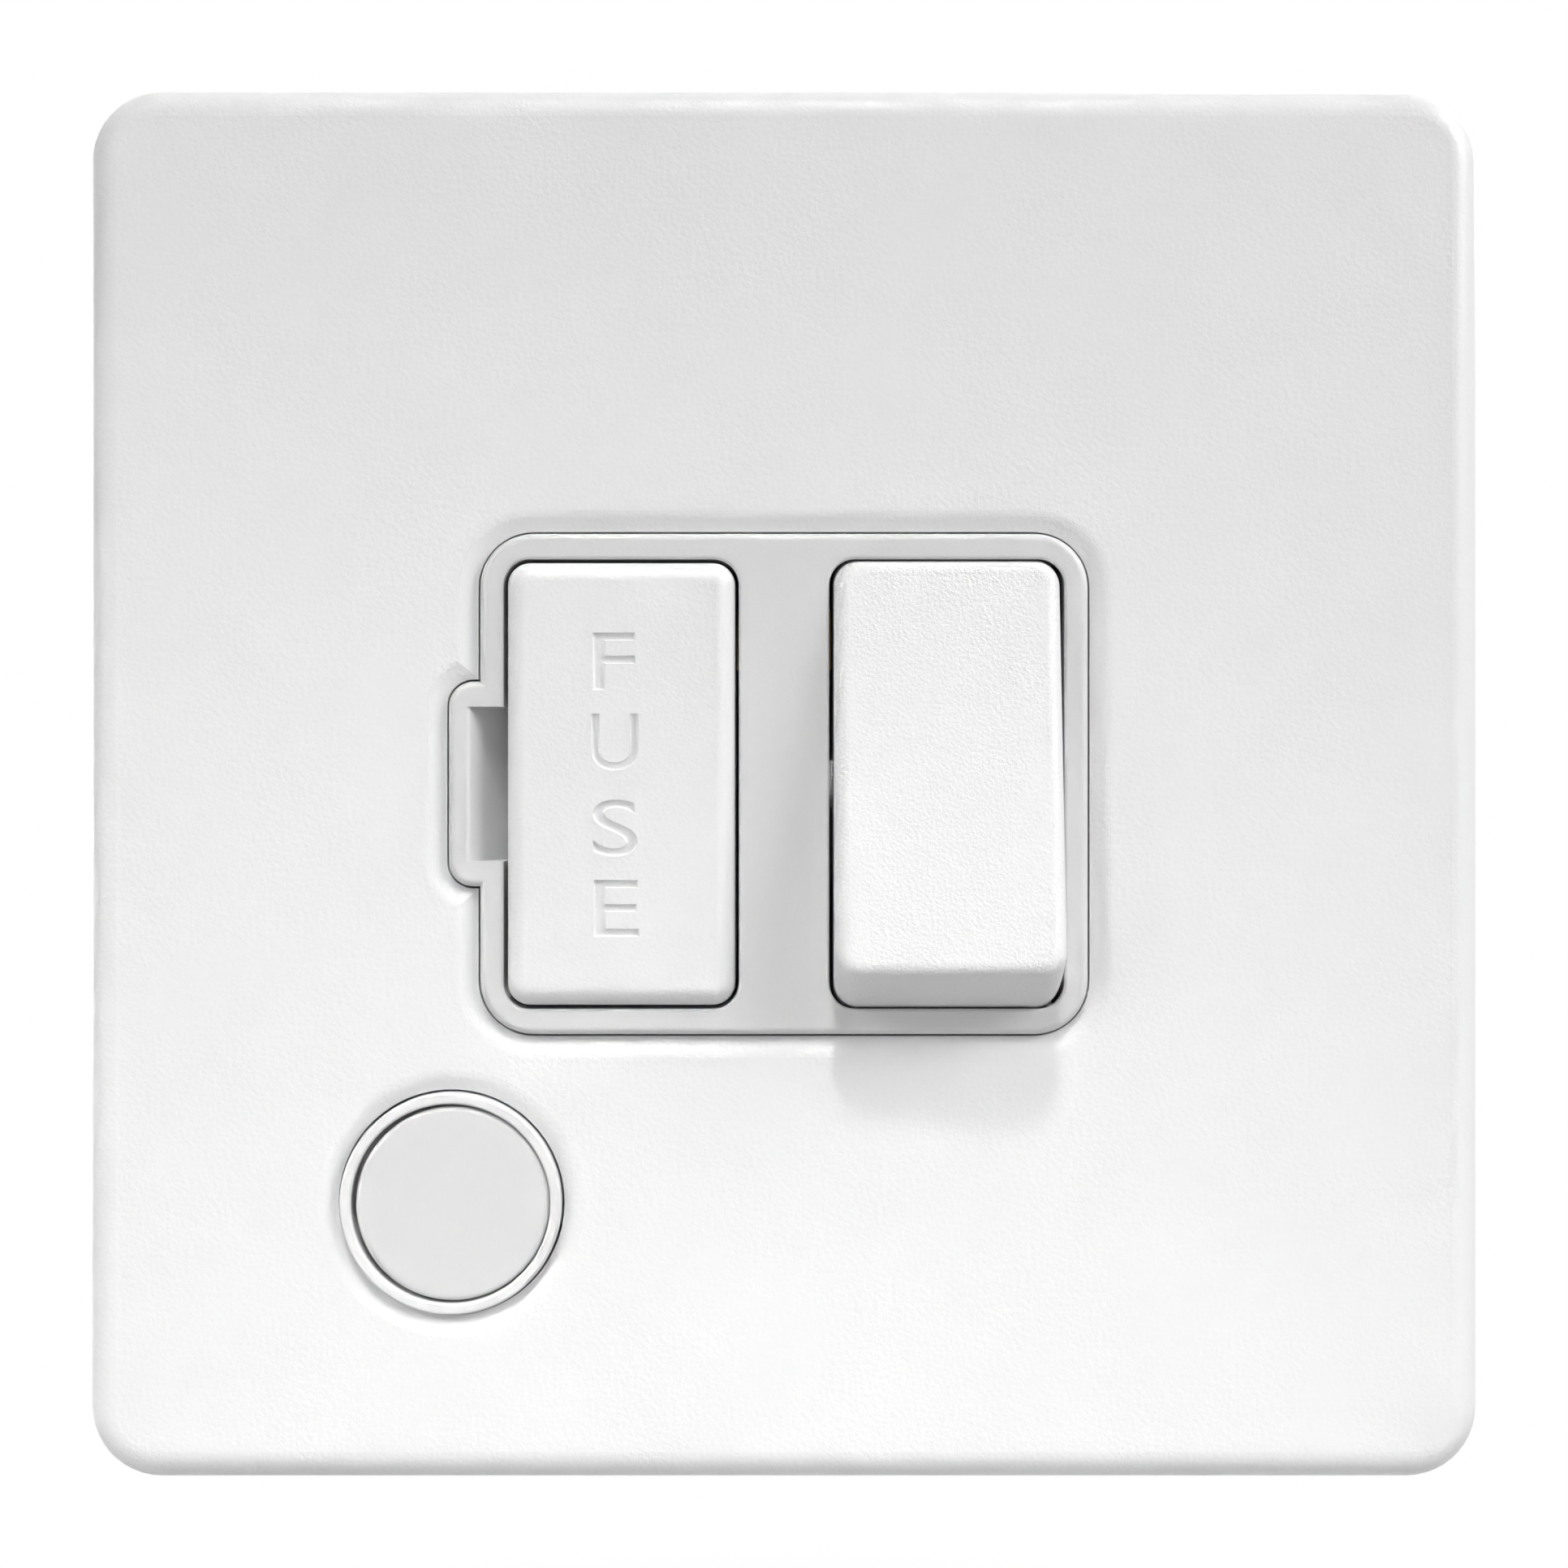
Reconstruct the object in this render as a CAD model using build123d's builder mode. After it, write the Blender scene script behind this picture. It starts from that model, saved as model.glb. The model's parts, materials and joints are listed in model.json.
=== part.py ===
from build123d import *
from math import atan2, cos, radians, sin, sqrt, tan
import os

# Switched fused connection unit with a flex outlet, behind a screwless flat plate.
# Millimetres. X is right, Z is up and the front looks along -Y. The origin is the centre of
# the plate on the wall's surface, and a height is a distance in front of that surface.

# Front plate, pressed from sheet
plate_size = 86.0
plate_corner_radius = 4.4
plate_height = 5.0
sheet = 1.0
plate_edge_radius = 1.9
aperture_gap = 0.15
aperture_slope = 1.1
aperture_dip = 0.45
aperture_roll = 1.8
aperture_roll_steps = 4
aperture_lip = 2.4
outlet_gap = 0.15
outlet_slope = 0.7
outlet_dip = 0.4
outlet_roll = 2.2
outlet_lip = 2.0

# Mounting frame
frame_gap = 0.7
frame_height = 2.4
frame_relief = 0.4
frame_rim = 3.8
clip_gap = 0.15
clip_length = 9.0
clip_offset = 22.0
pad_radius = 3.0
pad_inset = 5.2
pad_gap = 0.12
fixing_spacing = 60.3
fixing_slot_width = 4.2
fixing_slot_length = 6.2
fixing_head_width = 8.4
fixing_head_floor = 1.3
boss_hole_gap = 0.2
flange_gap = 0.2
bush_hole_gap = 0.1
bead_width = 3.0
bead_depth = 0.7
bead_inset = 7.6
bead_length = 52.0

# Cartridge fuse
fuse_length = 25.4
fuse_radius = 3.15
cap_length = 6.2
cap_sheet = 0.3
cap_fit = 0.02

# Fuse carrier
carrier_width = 14.0
carrier_gap = 0.225
carrier_proud = 0.7
carrier_corner = 1.4
carrier_edge = 1.2
carrier_wall = 1.2
carrier_face_wall = 1.6
carrier_end_wall = 0.8
carrier_skirt = 5.3
fuse_end_gap = 0.1
barrel_gap = 0.1
cradle_length = 8.0
cradle_wall = 1.0
cradle_mouth = 5.2
cradle_core = 4.4
end_plate_width = 8.0
prise_groove_width = 5.0
prise_groove_height = 2.2
prise_groove_depth = 0.6

# Moulded insert
centre_bar = 5.55
insert_side_rim = 1.475
insert_end_rim = 1.575
insert_corner = 3.3
insert_proud = 0.3
insert_edge = 0.45
insert_skirt = 3.0
window_corner = 1.6
window_edge = 0.2
window_lip = 0.45
bar_core = 2.6
bar_face_wall = 1.6
notch_reach = 1.93
notch_height = 12.6
notch_corner = 1.5
finger_reach = 2.135
finger_height = 9.5
finger_slope = 58.0
finger_edge = 0.4
flange_back = 1.0
flange_front = 2.3
flange_margin = 2.6
flange_corner = 2.0
boss_outset = 3.7
boss_inset = 4.4
boss_radius = 2.0
boss_pilot = 1.05
boss_depth = 6.0

# Rocker and its sprung plungers
rocker_side_gap = 0.275
rocker_end_gap = 0.22
rocker_tilt = 10.0
pivot_depth = 4.1
rocker_face = 6.7
rocker_skirt = 2.1
rocker_wall = 1.5
rocker_corner = 1.5
rocker_edge = 0.9
sweep_gap = 0.2
trunnion_radius = 1.5
trunnion_length = 1.1
trunnion_gap = 0.05
trunnion_end_gap = 0.15
pole_spacing = 6.7
stem_radius = 2.3
stem_reach = 5.0
stem_bore = 1.6
stem_bore_depth = 6.0
plunger_gap = 0.1
plunger_reach = 8.0
plunger_length = 5.4
plunger_tip = 1.2
spring_wire = 0.2
spring_gap = 0.2
spring_turns = 4

# Rocking contact levers
lever_ratio = 0.6
lever_gap = 0.06
lever_front = 0.5
lever_thickness = 0.8
lever_width = 4.0
lever_nose = 8.4
lever_tail = 6.0
lever_end_radius = 1.0
lever_pin_radius = 0.5
lever_pin_gap = 0.1
contact_offset = 6.5
contact_radius = 1.5
lever_tip_thickness = 0.7
fixed_tip_thickness = 0.5
contact_gap = 0.1

# Brass strips, fuse clips and terminals
bus_thickness = 0.8
bus_width = 4.0
link_width = 3.0
ear_gap = 0.2
ear_thickness = 0.8
ear_length = 3.2
ear_rise = 0.9
clip_sheet = 0.6
clip_width = 3.0
clip_fit = 0.1
clip_place = 9.7
clip_grip = 1.5
clip_flare = 0.7
fuse_floor_gap = 1.55
terminal_width = 7.6
terminal_length = 7.6
terminal_depth = 8.0
terminal_edge = 0.5
terminal_overlap = 1.5
wire_bore = 2.2
wire_height = 4.0
screw_hole = 1.75
screw_shank = 1.7
screw_tip_gap = 0.1
screw_head_radius = 2.9
screw_head_depth = 1.8
driver_slot_width = 0.8
driver_slot_depth = 0.7
load_side_gap = 0.3
earth_x = -0.7
supply_side_gap = 0.5
supply_pitch = 8.9

# Earth strap
strap_sheet = 0.5
strap_width = 5.0
strap_foot = 3.0
strap_leg_inset = 2.6
strap_leaf = 7.0
strap_gap = 0.3
strap_slot_gap = 0.4

# Rear housing and its screws
housing_wall = 1.8
housing_floor = 2.0
housing_gap = 0.2
housing_edge = 0.8
pocket_gap = 0.2
partition = 1.0
partition_drop = 3.2
strip_slot_gap = 0.2
wire_entry_gap = 0.4
wire_entry_chamfer = 0.5
head_hole_gap = 0.2
panel_count = 3
panel_depth = 0.6
panel_rib = 1.6
panel_side_inset = 1.2
panel_end_inset = 2.4
panel_corner = 1.5
ear_depth = 3.0
ear_radius = 3.2
ear_hole = 1.2
housing_screw_radius = 1.0
housing_screw_head_radius = 2.2
housing_screw_head_depth = 1.6
housing_screw_tip_gap = 0.5

# Flex outlet and cord clamp
outlet_x = -20.5
outlet_drop = 10.4
bush_radius = 6.82
bush_proud = 0.35
bush_wall = 0.69
bush_edge = 0.18
bush_ledge = 3.4
bush_bore = 5.0
bush_flange_radius = 7.6
bush_flange_depth = 2.0
blank_radius = 5.96
blank_offset = 0.13
blank_proud = 0.2
blank_edge = 0.3
blank_wall = 1.3
blank_seat_gap = 0.2
clamp_x = -6.0
clamp_spacing = 11.2
clamp_post_radius = 2.6
clamp_passage = 7.0
clamp_thickness = 2.6
clamp_edge = 0.3
clamp_ridges = 3
clamp_ridge_pitch = 2.0
clamp_ridge_width = 0.9
clamp_ridge_height = 0.3
clamp_hole = 1.6
clamp_pilot = 1.45
clamp_screw_radius = 1.4
clamp_screw_head_radius = 2.4
clamp_screw_head_depth = 1.7
clamp_screw_tip_gap = 0.6

# Sizes that follow from the ones above
inner_half = plate_size / 2 - sheet
frame_half = inner_half - frame_gap
frame_corner = plate_corner_radius - sheet - frame_gap
sheet_back = plate_height - sheet

carrier_height = fuse_length + 2 * (fuse_end_gap + carrier_end_wall)
window_width = carrier_width + 2 * carrier_gap
window_height = carrier_height + 2 * carrier_gap
window_x = (window_width + centre_bar) / 2
insert_width = 2 * window_x + window_width + 2 * insert_side_rim
insert_height = window_height + 2 * insert_end_rim
insert_face = plate_height + insert_proud
carrier_face = insert_face + carrier_proud
carrier_back = carrier_face - carrier_face_wall
fuse_x = -window_x
rocker_x = window_x

boss_x = insert_width / 2 + boss_outset
boss_z = insert_height / 2 - boss_inset
flange_width = 2 * (boss_x + boss_radius)
flange_height = insert_height + 2 * flange_margin

pivot_height = insert_face - pivot_depth
rocker_radius = sqrt((window_height / 2) ** 2 + pivot_depth ** 2) - rocker_end_gap
rocker_width = window_width - 2 * rocker_side_gap
plunger_radius = stem_bore - plunger_gap
poles = {"line": rocker_x - pole_spacing / 2, "neutral": rocker_x + pole_spacing / 2}

lever_tilt = rocker_tilt * lever_ratio
lever_back = lever_front - lever_thickness
fulcrum_height = pivot_height - plunger_reach - lever_gap - lever_front
lever_tip_back = lever_back - lever_tip_thickness
closed_height = (fulcrum_height + lever_tip_back * cos(radians(lever_tilt))
                 - (contact_offset + contact_radius) * sin(radians(lever_tilt)))
bus_front = closed_height - contact_gap - fixed_tip_thickness
bus_back = bus_front - bus_thickness
ear_inner = lever_width / 2 + ear_gap
ear_outer = ear_inner + ear_thickness
fuse_height = bus_front + clip_sheet + fuse_floor_gap + fuse_radius

housing_back = bus_back - housing_floor
main_half_x = insert_width / 2 + housing_gap
main_half_z = insert_height / 2 + housing_gap
terminal_low = main_half_z + housing_wall + pocket_gap
terminal_z = terminal_low + terminal_length / 2
deck_end = terminal_low + terminal_length + pocket_gap
wire_level = bus_front + wire_height
load_line_x = -(main_half_x - load_side_gap - terminal_width / 2)
supply_neutral_x = main_half_x - supply_side_gap - terminal_width / 2
supply_line_x = supply_neutral_x - supply_pitch
strip_reach = terminal_low + terminal_overlap
terminals = {
    "load_line": (load_line_x, terminal_z),
    "earth": (earth_x, terminal_z),
    "load_neutral": (poles["neutral"], terminal_z),
    "supply_line": (supply_line_x, -terminal_z),
    "supply_neutral": (supply_neutral_x, -terminal_z),
}
link_x = load_line_x - terminal_width / 2 + link_width / 2 + pocket_gap
bosses = [(x, z) for x in (-boss_x, boss_x) for z in (-boss_z, boss_z)]
outlet_z = -(insert_height / 2 + outlet_drop)
clamp_back = frame_relief - clamp_passage
clamp_points = [(clamp_x, outlet_z - clamp_spacing / 2), (clamp_x, outlet_z + clamp_spacing / 2)]


def level(height):
    """Plane parallel to the wall, where a sketch is drawn in X and Z and extrudes to the front."""
    return Plane.XZ.offset(height)


def side(across, height=0.0, lean=0.0):
    """Plane square to X, drawn in Z and height, whose upper end leans out by an angle."""
    up = (0, -sin(radians(lean)), cos(radians(lean)))
    return Plane(origin=(across, -height, 0), x_dir=up, z_dir=(1, 0, 0))


def facing(across, height, lean):
    """Plane square to a leaning plane's height, drawn in X and along the lean."""
    out = (0, -cos(radians(lean)), -sin(radians(lean)))
    return Plane(origin=(across, -height, 0), x_dir=(1, 0, 0), z_dir=out)


def section(across=0.0, up=0.0):
    """Plane square to Z, drawn in X and height from a point."""
    return Plane(origin=(across, 0, up), x_dir=(1, 0, 0), z_dir=(0, 0, -1))


def insert_outline(height, grow=0.0):
    """Outline of the insert with its finger notch, grown all round."""
    notch_width = notch_reach + insert_corner
    with BuildSketch(level(height)) as outline:
        RectangleRounded(insert_width + 2 * grow, insert_height + 2 * grow, insert_corner + grow)
        with Locations((-insert_width / 2 - notch_reach - grow, 0)):
            RectangleRounded(
                notch_width + 2 * grow,
                notch_height + 2 * grow,
                notch_corner + grow,
                align=(Align.MIN, Align.CENTER),
            )
    return outline.sketch


def front_face(piece):
    """The face of a piece that is furthest to the front."""
    return piece.faces().sort_by(Axis.Y)[0]


def driver_slots(points, head_radius, height):
    """Outlines of a straight driver slot across each screw head."""
    with BuildSketch(level(height)) as slots:
        with Locations(points):
            Rectangle(3 * head_radius, driver_slot_width)
    return slots.sketch


def finish(piece, name):
    """Label a finished piece and write it."""
    piece.part.label = name
    export_step(piece.part, f"parts/{name}.step")


os.makedirs("parts", exist_ok=True)

# Front plate: a shallow tray with rolled edges and a drawn lip round each opening
with BuildPart() as tray_hollow:
    with BuildSketch(level(0)):
        RectangleRounded(2 * inner_half, 2 * inner_half, plate_corner_radius - sheet)
    extrude(amount=sheet_back)
    fillet(front_face(tray_hollow).edges(), plate_edge_radius - sheet)

with BuildPart() as front_plate:
    with BuildSketch(level(0)):
        RectangleRounded(plate_size, plate_size, plate_corner_radius)
    extrude(amount=plate_height)
    fillet(front_face(front_plate).edges(), plate_edge_radius)
    add(tray_hollow.part, mode=Mode.SUBTRACT)
    lip_outline = insert_outline(plate_height - aperture_lip, aperture_gap + sheet)
    extrude(lip_outline, amount=aperture_lip - sheet / 2)
    with BuildSketch(level(plate_height - outlet_lip)):
        with Locations((outlet_x, outlet_z)):
            Circle(bush_radius + outlet_gap + sheet)
    extrude(amount=outlet_lip - sheet / 2)
    extrude(insert_outline(0, aperture_gap), amount=plate_height, mode=Mode.SUBTRACT)
    with BuildSketch(level(0)):
        with Locations((outlet_x, outlet_z)):
            Circle(bush_radius + outlet_gap)
    extrude(amount=plate_height, mode=Mode.SUBTRACT)
    dip_angle = atan2(aperture_dip, aperture_slope)
    roll_rim = aperture_gap + aperture_slope + aperture_roll * tan(dip_angle / 2)
    dip_profile = [(aperture_gap, aperture_dip)]
    for step in range(aperture_roll_steps + 1):
        turn = dip_angle * (1 - step / aperture_roll_steps)
        dip_profile.append((roll_rim - aperture_roll * sin(turn), aperture_roll * (1 - cos(turn))))
    dip_sections = [insert_outline(plate_height - depth, grow).face() for grow, depth in dip_profile]
    loft(dip_sections, ruled=True, mode=Mode.SUBTRACT)
    outlet_edges = front_face(front_plate).inner_wires().sort_by(SortBy.LENGTH)[0].edges()
    chamfer(outlet_edges, outlet_slope, outlet_dip, reference=front_face(front_plate))
    outlet_edges = front_face(front_plate).inner_wires().sort_by(SortBy.LENGTH)[0].edges()
    fillet(outlet_edges, outlet_roll)
finish(front_plate, "front_plate")

# Mounting frame: a tray that bears on the wall at its rim and carries the insert in a rebate
with BuildPart() as mounting_frame:
    with BuildSketch(level(0)):
        RectangleRounded(2 * frame_half, 2 * frame_half, frame_corner)
        with PolarLocations(frame_half, 4):
            with Locations((0, -clip_offset), (0, clip_offset)):
                Rectangle(2 * (frame_gap - clip_gap), clip_length)
    extrude(amount=frame_height)
    with BuildSketch(level(0)):
        Rectangle(2 * (frame_half - frame_rim), 2 * (frame_half - frame_rim))
    extrude(amount=frame_relief, mode=Mode.SUBTRACT)
    with BuildSketch(level(frame_height)):
        with GridLocations(2 * (frame_half - pad_inset), 2 * (frame_half - pad_inset), 2, 2):
            Circle(pad_radius)
    extrude(amount=sheet_back - frame_height - pad_gap)
    with BuildSketch(level(flange_back)):
        RectangleRounded(
            flange_width + 2 * flange_gap,
            flange_height + 2 * flange_gap,
            flange_corner + flange_gap,
        )
    extrude(amount=frame_height - flange_back, mode=Mode.SUBTRACT)
    with BuildSketch(level(0)):
        RectangleRounded(2 * main_half_x, 2 * main_half_z, insert_corner)
        with Locations(bosses):
            Circle(boss_radius + boss_hole_gap)
        with Locations((outlet_x, outlet_z)):
            Circle(bush_radius + bush_hole_gap)
        with Locations((earth_x, terminal_low + strap_leg_inset)):
            Rectangle(strap_width + 2 * strap_slot_gap, strap_sheet + 2 * strap_slot_gap)
        with GridLocations(fixing_spacing, 0, 2, 1):
            SlotOverall(fixing_slot_length, fixing_slot_width)
    extrude(amount=frame_height, mode=Mode.SUBTRACT)
    with BuildSketch(level(fixing_head_floor)):
        with GridLocations(fixing_spacing, 0, 2, 1):
            SlotOverall(fixing_slot_length + fixing_head_width - fixing_slot_width, fixing_head_width)
    extrude(amount=frame_height - fixing_head_floor, mode=Mode.SUBTRACT)
    with BuildSketch(level(clamp_back)):
        with Locations(clamp_points):
            Circle(clamp_post_radius)
    extrude(amount=clamp_passage)
    with BuildSketch(level(clamp_back)):
        with Locations(clamp_points):
            Circle(clamp_pilot)
    extrude(amount=clamp_passage, mode=Mode.SUBTRACT)
    bead_z = frame_half - bead_inset
    with BuildSketch(level(frame_relief)):
        with Locations((0, bead_z)):
            SlotOverall(bead_length, bead_width)
        with Locations((bead_length / 4, -bead_z)):
            SlotOverall(bead_length / 2, bead_width)
    extrude(amount=bead_depth, mode=Mode.SUBTRACT)
finish(mounting_frame, "mounting_frame")

# Front insert: windows for the carrier and the rocker, finger notch, flange and screw bosses
with BuildPart() as front_insert:
    with BuildSketch(level(-insert_skirt)):
        RectangleRounded(insert_width, insert_height, insert_corner)
    extrude(amount=insert_skirt + flange_front)
    with BuildSketch(level(flange_back)):
        RectangleRounded(flange_width, flange_height, flange_corner)
    extrude(amount=flange_front - flange_back)
    extrude(insert_outline(flange_back), amount=insert_face - flange_back)
    with BuildSketch(level(-insert_skirt)):
        with GridLocations(2 * window_x, 0, 2, 1):
            RectangleRounded(window_width, window_height, window_corner)
    extrude(amount=insert_skirt + insert_face, mode=Mode.SUBTRACT)
    fillet(front_face(front_insert).outer_wire().edges(), insert_edge)
    fillet([edge for wire in front_face(front_insert).inner_wires() for edge in wire.edges()], window_edge)
    with BuildSketch(level(-insert_skirt)):
        Rectangle(bar_core, window_height - 2 * window_corner)
    extrude(amount=insert_skirt + insert_face - bar_face_wall, mode=Mode.SUBTRACT)
    with BuildSketch(side(rocker_x, pivot_height)):
        Circle(rocker_radius + sweep_gap)
        with Locations((0, pivot_depth - window_lip)):
            Rectangle(3 * rocker_radius, rocker_radius, align=(Align.CENTER, Align.MIN), mode=Mode.SUBTRACT)
    extrude(amount=window_width / 2, both=True, mode=Mode.SUBTRACT)
    with BuildSketch(side(rocker_x, pivot_height)):
        Circle(trunnion_radius + trunnion_gap)
    trunnion_seat = rocker_width / 2 + trunnion_length + trunnion_end_gap
    extrude(amount=trunnion_seat, both=True, mode=Mode.SUBTRACT)
    finger_left = fuse_x - window_width / 2 - finger_reach
    finger_run = finger_reach + carrier_gap
    with BuildSketch(section(finger_left)):
        with BuildLine():
            Polyline(
                (-carrier_proud / tan(radians(finger_slope)), carrier_face),
                (finger_run, insert_face - finger_run * tan(radians(finger_slope))),
                (finger_run, carrier_face),
                close=True,
            )
        make_face()
    extrude(amount=finger_height / 2, both=True, mode=Mode.SUBTRACT)
    finger_rim = front_insert.edges().filter_by(Axis.Z).sort_by_distance((finger_left, -insert_face, 0))[0]
    fillet(finger_rim, finger_edge)
    with BuildSketch(level(-boss_depth)):
        with Locations(bosses):
            Circle(boss_radius)
    extrude(amount=boss_depth + flange_back)
    with BuildSketch(level(-boss_depth)):
        with Locations(bosses):
            Circle(boss_pilot)
    extrude(amount=boss_depth, mode=Mode.SUBTRACT)
finish(front_insert, "front_insert")

# Fuse carrier: a cored cap with end plates that guide it and a cradle that grips the fuse barrel
with BuildPart() as fuse_carrier:
    with BuildSketch(level(carrier_face - carrier_skirt - carrier_proud)):
        with Locations((fuse_x, 0)):
            RectangleRounded(carrier_width, carrier_height, carrier_corner)
    extrude(amount=carrier_skirt + carrier_proud)
    fillet(front_face(fuse_carrier).edges(), carrier_edge)
    with BuildSketch(level(carrier_back)):
        with Locations((fuse_x, 0)):
            Rectangle(carrier_width - 2 * carrier_wall, carrier_height - 2 * carrier_end_wall)
    extrude(amount=-carrier_skirt, mode=Mode.SUBTRACT)
    with BuildSketch(level(fuse_height - fuse_radius)):
        with Locations((fuse_x, carrier_height / 2), (fuse_x, carrier_end_wall - carrier_height / 2)):
            Rectangle(end_plate_width, carrier_end_wall, align=(Align.CENTER, Align.MAX))
    extrude(amount=carrier_back - fuse_height + fuse_radius)
    cradle_half = fuse_radius + cradle_wall
    with BuildSketch(section(fuse_x)):
        with Locations((0, carrier_back)):
            Rectangle(
                2 * cradle_half,
                carrier_back - fuse_height + fuse_radius,
                align=(Align.CENTER, Align.MAX),
            )
        with Locations((0, fuse_height)):
            Circle(fuse_radius - cap_sheet + barrel_gap, mode=Mode.SUBTRACT)
            Rectangle(cradle_mouth, 2 * fuse_radius, align=(Align.CENTER, Align.MAX), mode=Mode.SUBTRACT)
        with Locations((0, carrier_back)):
            cradle_core_height = carrier_back - fuse_height - fuse_radius - cradle_wall
            Rectangle(cradle_core, cradle_core_height, align=(Align.CENTER, Align.MAX), mode=Mode.SUBTRACT)
    extrude(amount=cradle_length / 2, both=True)
    with BuildSketch(side(fuse_x - carrier_width / 2)):
        with Locations((0, insert_face - prise_groove_height)):
            Rectangle(prise_groove_width, prise_groove_height)
    extrude(amount=prise_groove_depth, mode=Mode.SUBTRACT)
finish(fuse_carrier, "fuse_carrier")

# Cartridge fuse: a ceramic barrel between two metal caps
barrel_radius = fuse_radius - cap_sheet - cap_fit
with BuildPart() as fuse_barrel:
    with BuildSketch(section(fuse_x)):
        with Locations((0, fuse_height)):
            Circle(barrel_radius)
    extrude(amount=fuse_length / 2 - cap_sheet, both=True)
finish(fuse_barrel, "fuse_barrel")

with BuildPart() as fuse_end_caps:
    with BuildSketch(section(fuse_x)):
        with Locations((0, fuse_height)):
            Circle(fuse_radius)
    extrude(amount=fuse_length / 2, both=True)
    with BuildSketch(section(fuse_x)):
        with Locations((0, fuse_height)):
            Circle(fuse_radius - cap_sheet)
    extrude(amount=fuse_length / 2 - cap_sheet, both=True, mode=Mode.SUBTRACT)
    with BuildSketch(section(fuse_x)):
        with Locations((0, fuse_height)):
            Circle(2 * fuse_radius)
    extrude(amount=fuse_length / 2 - cap_length, both=True, mode=Mode.SUBTRACT)
finish(fuse_end_caps, "fuse_end_caps")

# Rocker: a hollow cap with a flat face and ends turned about its pivot, and two stems behind it
rocker_side = side(rocker_x, pivot_height, -rocker_tilt)
rocker_front = facing(rocker_x, pivot_height, -rocker_tilt)
with BuildPart() as rocker:
    with BuildSketch(rocker_side):
        Circle(rocker_radius)
        with Locations((0, rocker_face)):
            Rectangle(
                3 * rocker_radius,
                rocker_face + rocker_skirt,
                align=(Align.CENTER, Align.MAX),
                mode=Mode.INTERSECT,
            )
    extrude(amount=rocker_width / 2, both=True)
    fillet(rocker.edges().filter_by(GeomType.CIRCLE), rocker_corner)
    rocker_out = Axis(rocker_front.origin, rocker_front.z_dir)
    fillet(rocker.faces().sort_by(rocker_out)[-1].edges(), rocker_edge)
    with BuildSketch(rocker_side):
        Circle(rocker_radius - rocker_wall)
        with Locations((0, rocker_face - rocker_wall)):
            Rectangle(
                3 * rocker_radius,
                rocker_face + rocker_skirt,
                align=(Align.CENTER, Align.MAX),
                mode=Mode.INTERSECT,
            )
    extrude(amount=rocker_width / 2 - rocker_wall, both=True, mode=Mode.SUBTRACT)
    with BuildSketch(rocker_front.offset(-stem_reach)):
        with GridLocations(pole_spacing, 0, 2, 1):
            Circle(stem_radius)
    extrude(amount=stem_reach + rocker_face - rocker_wall / 2)
    with BuildSketch(rocker_front.offset(-stem_reach)):
        with GridLocations(pole_spacing, 0, 2, 1):
            Circle(stem_bore)
    extrude(amount=stem_bore_depth, mode=Mode.SUBTRACT)
    for hand in (-1, 1):
        with BuildSketch(rocker_side.offset(hand * rocker_width / 2)):
            Circle(trunnion_radius)
        extrude(amount=hand * trunnion_length)
finish(rocker, "rocker")

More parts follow.
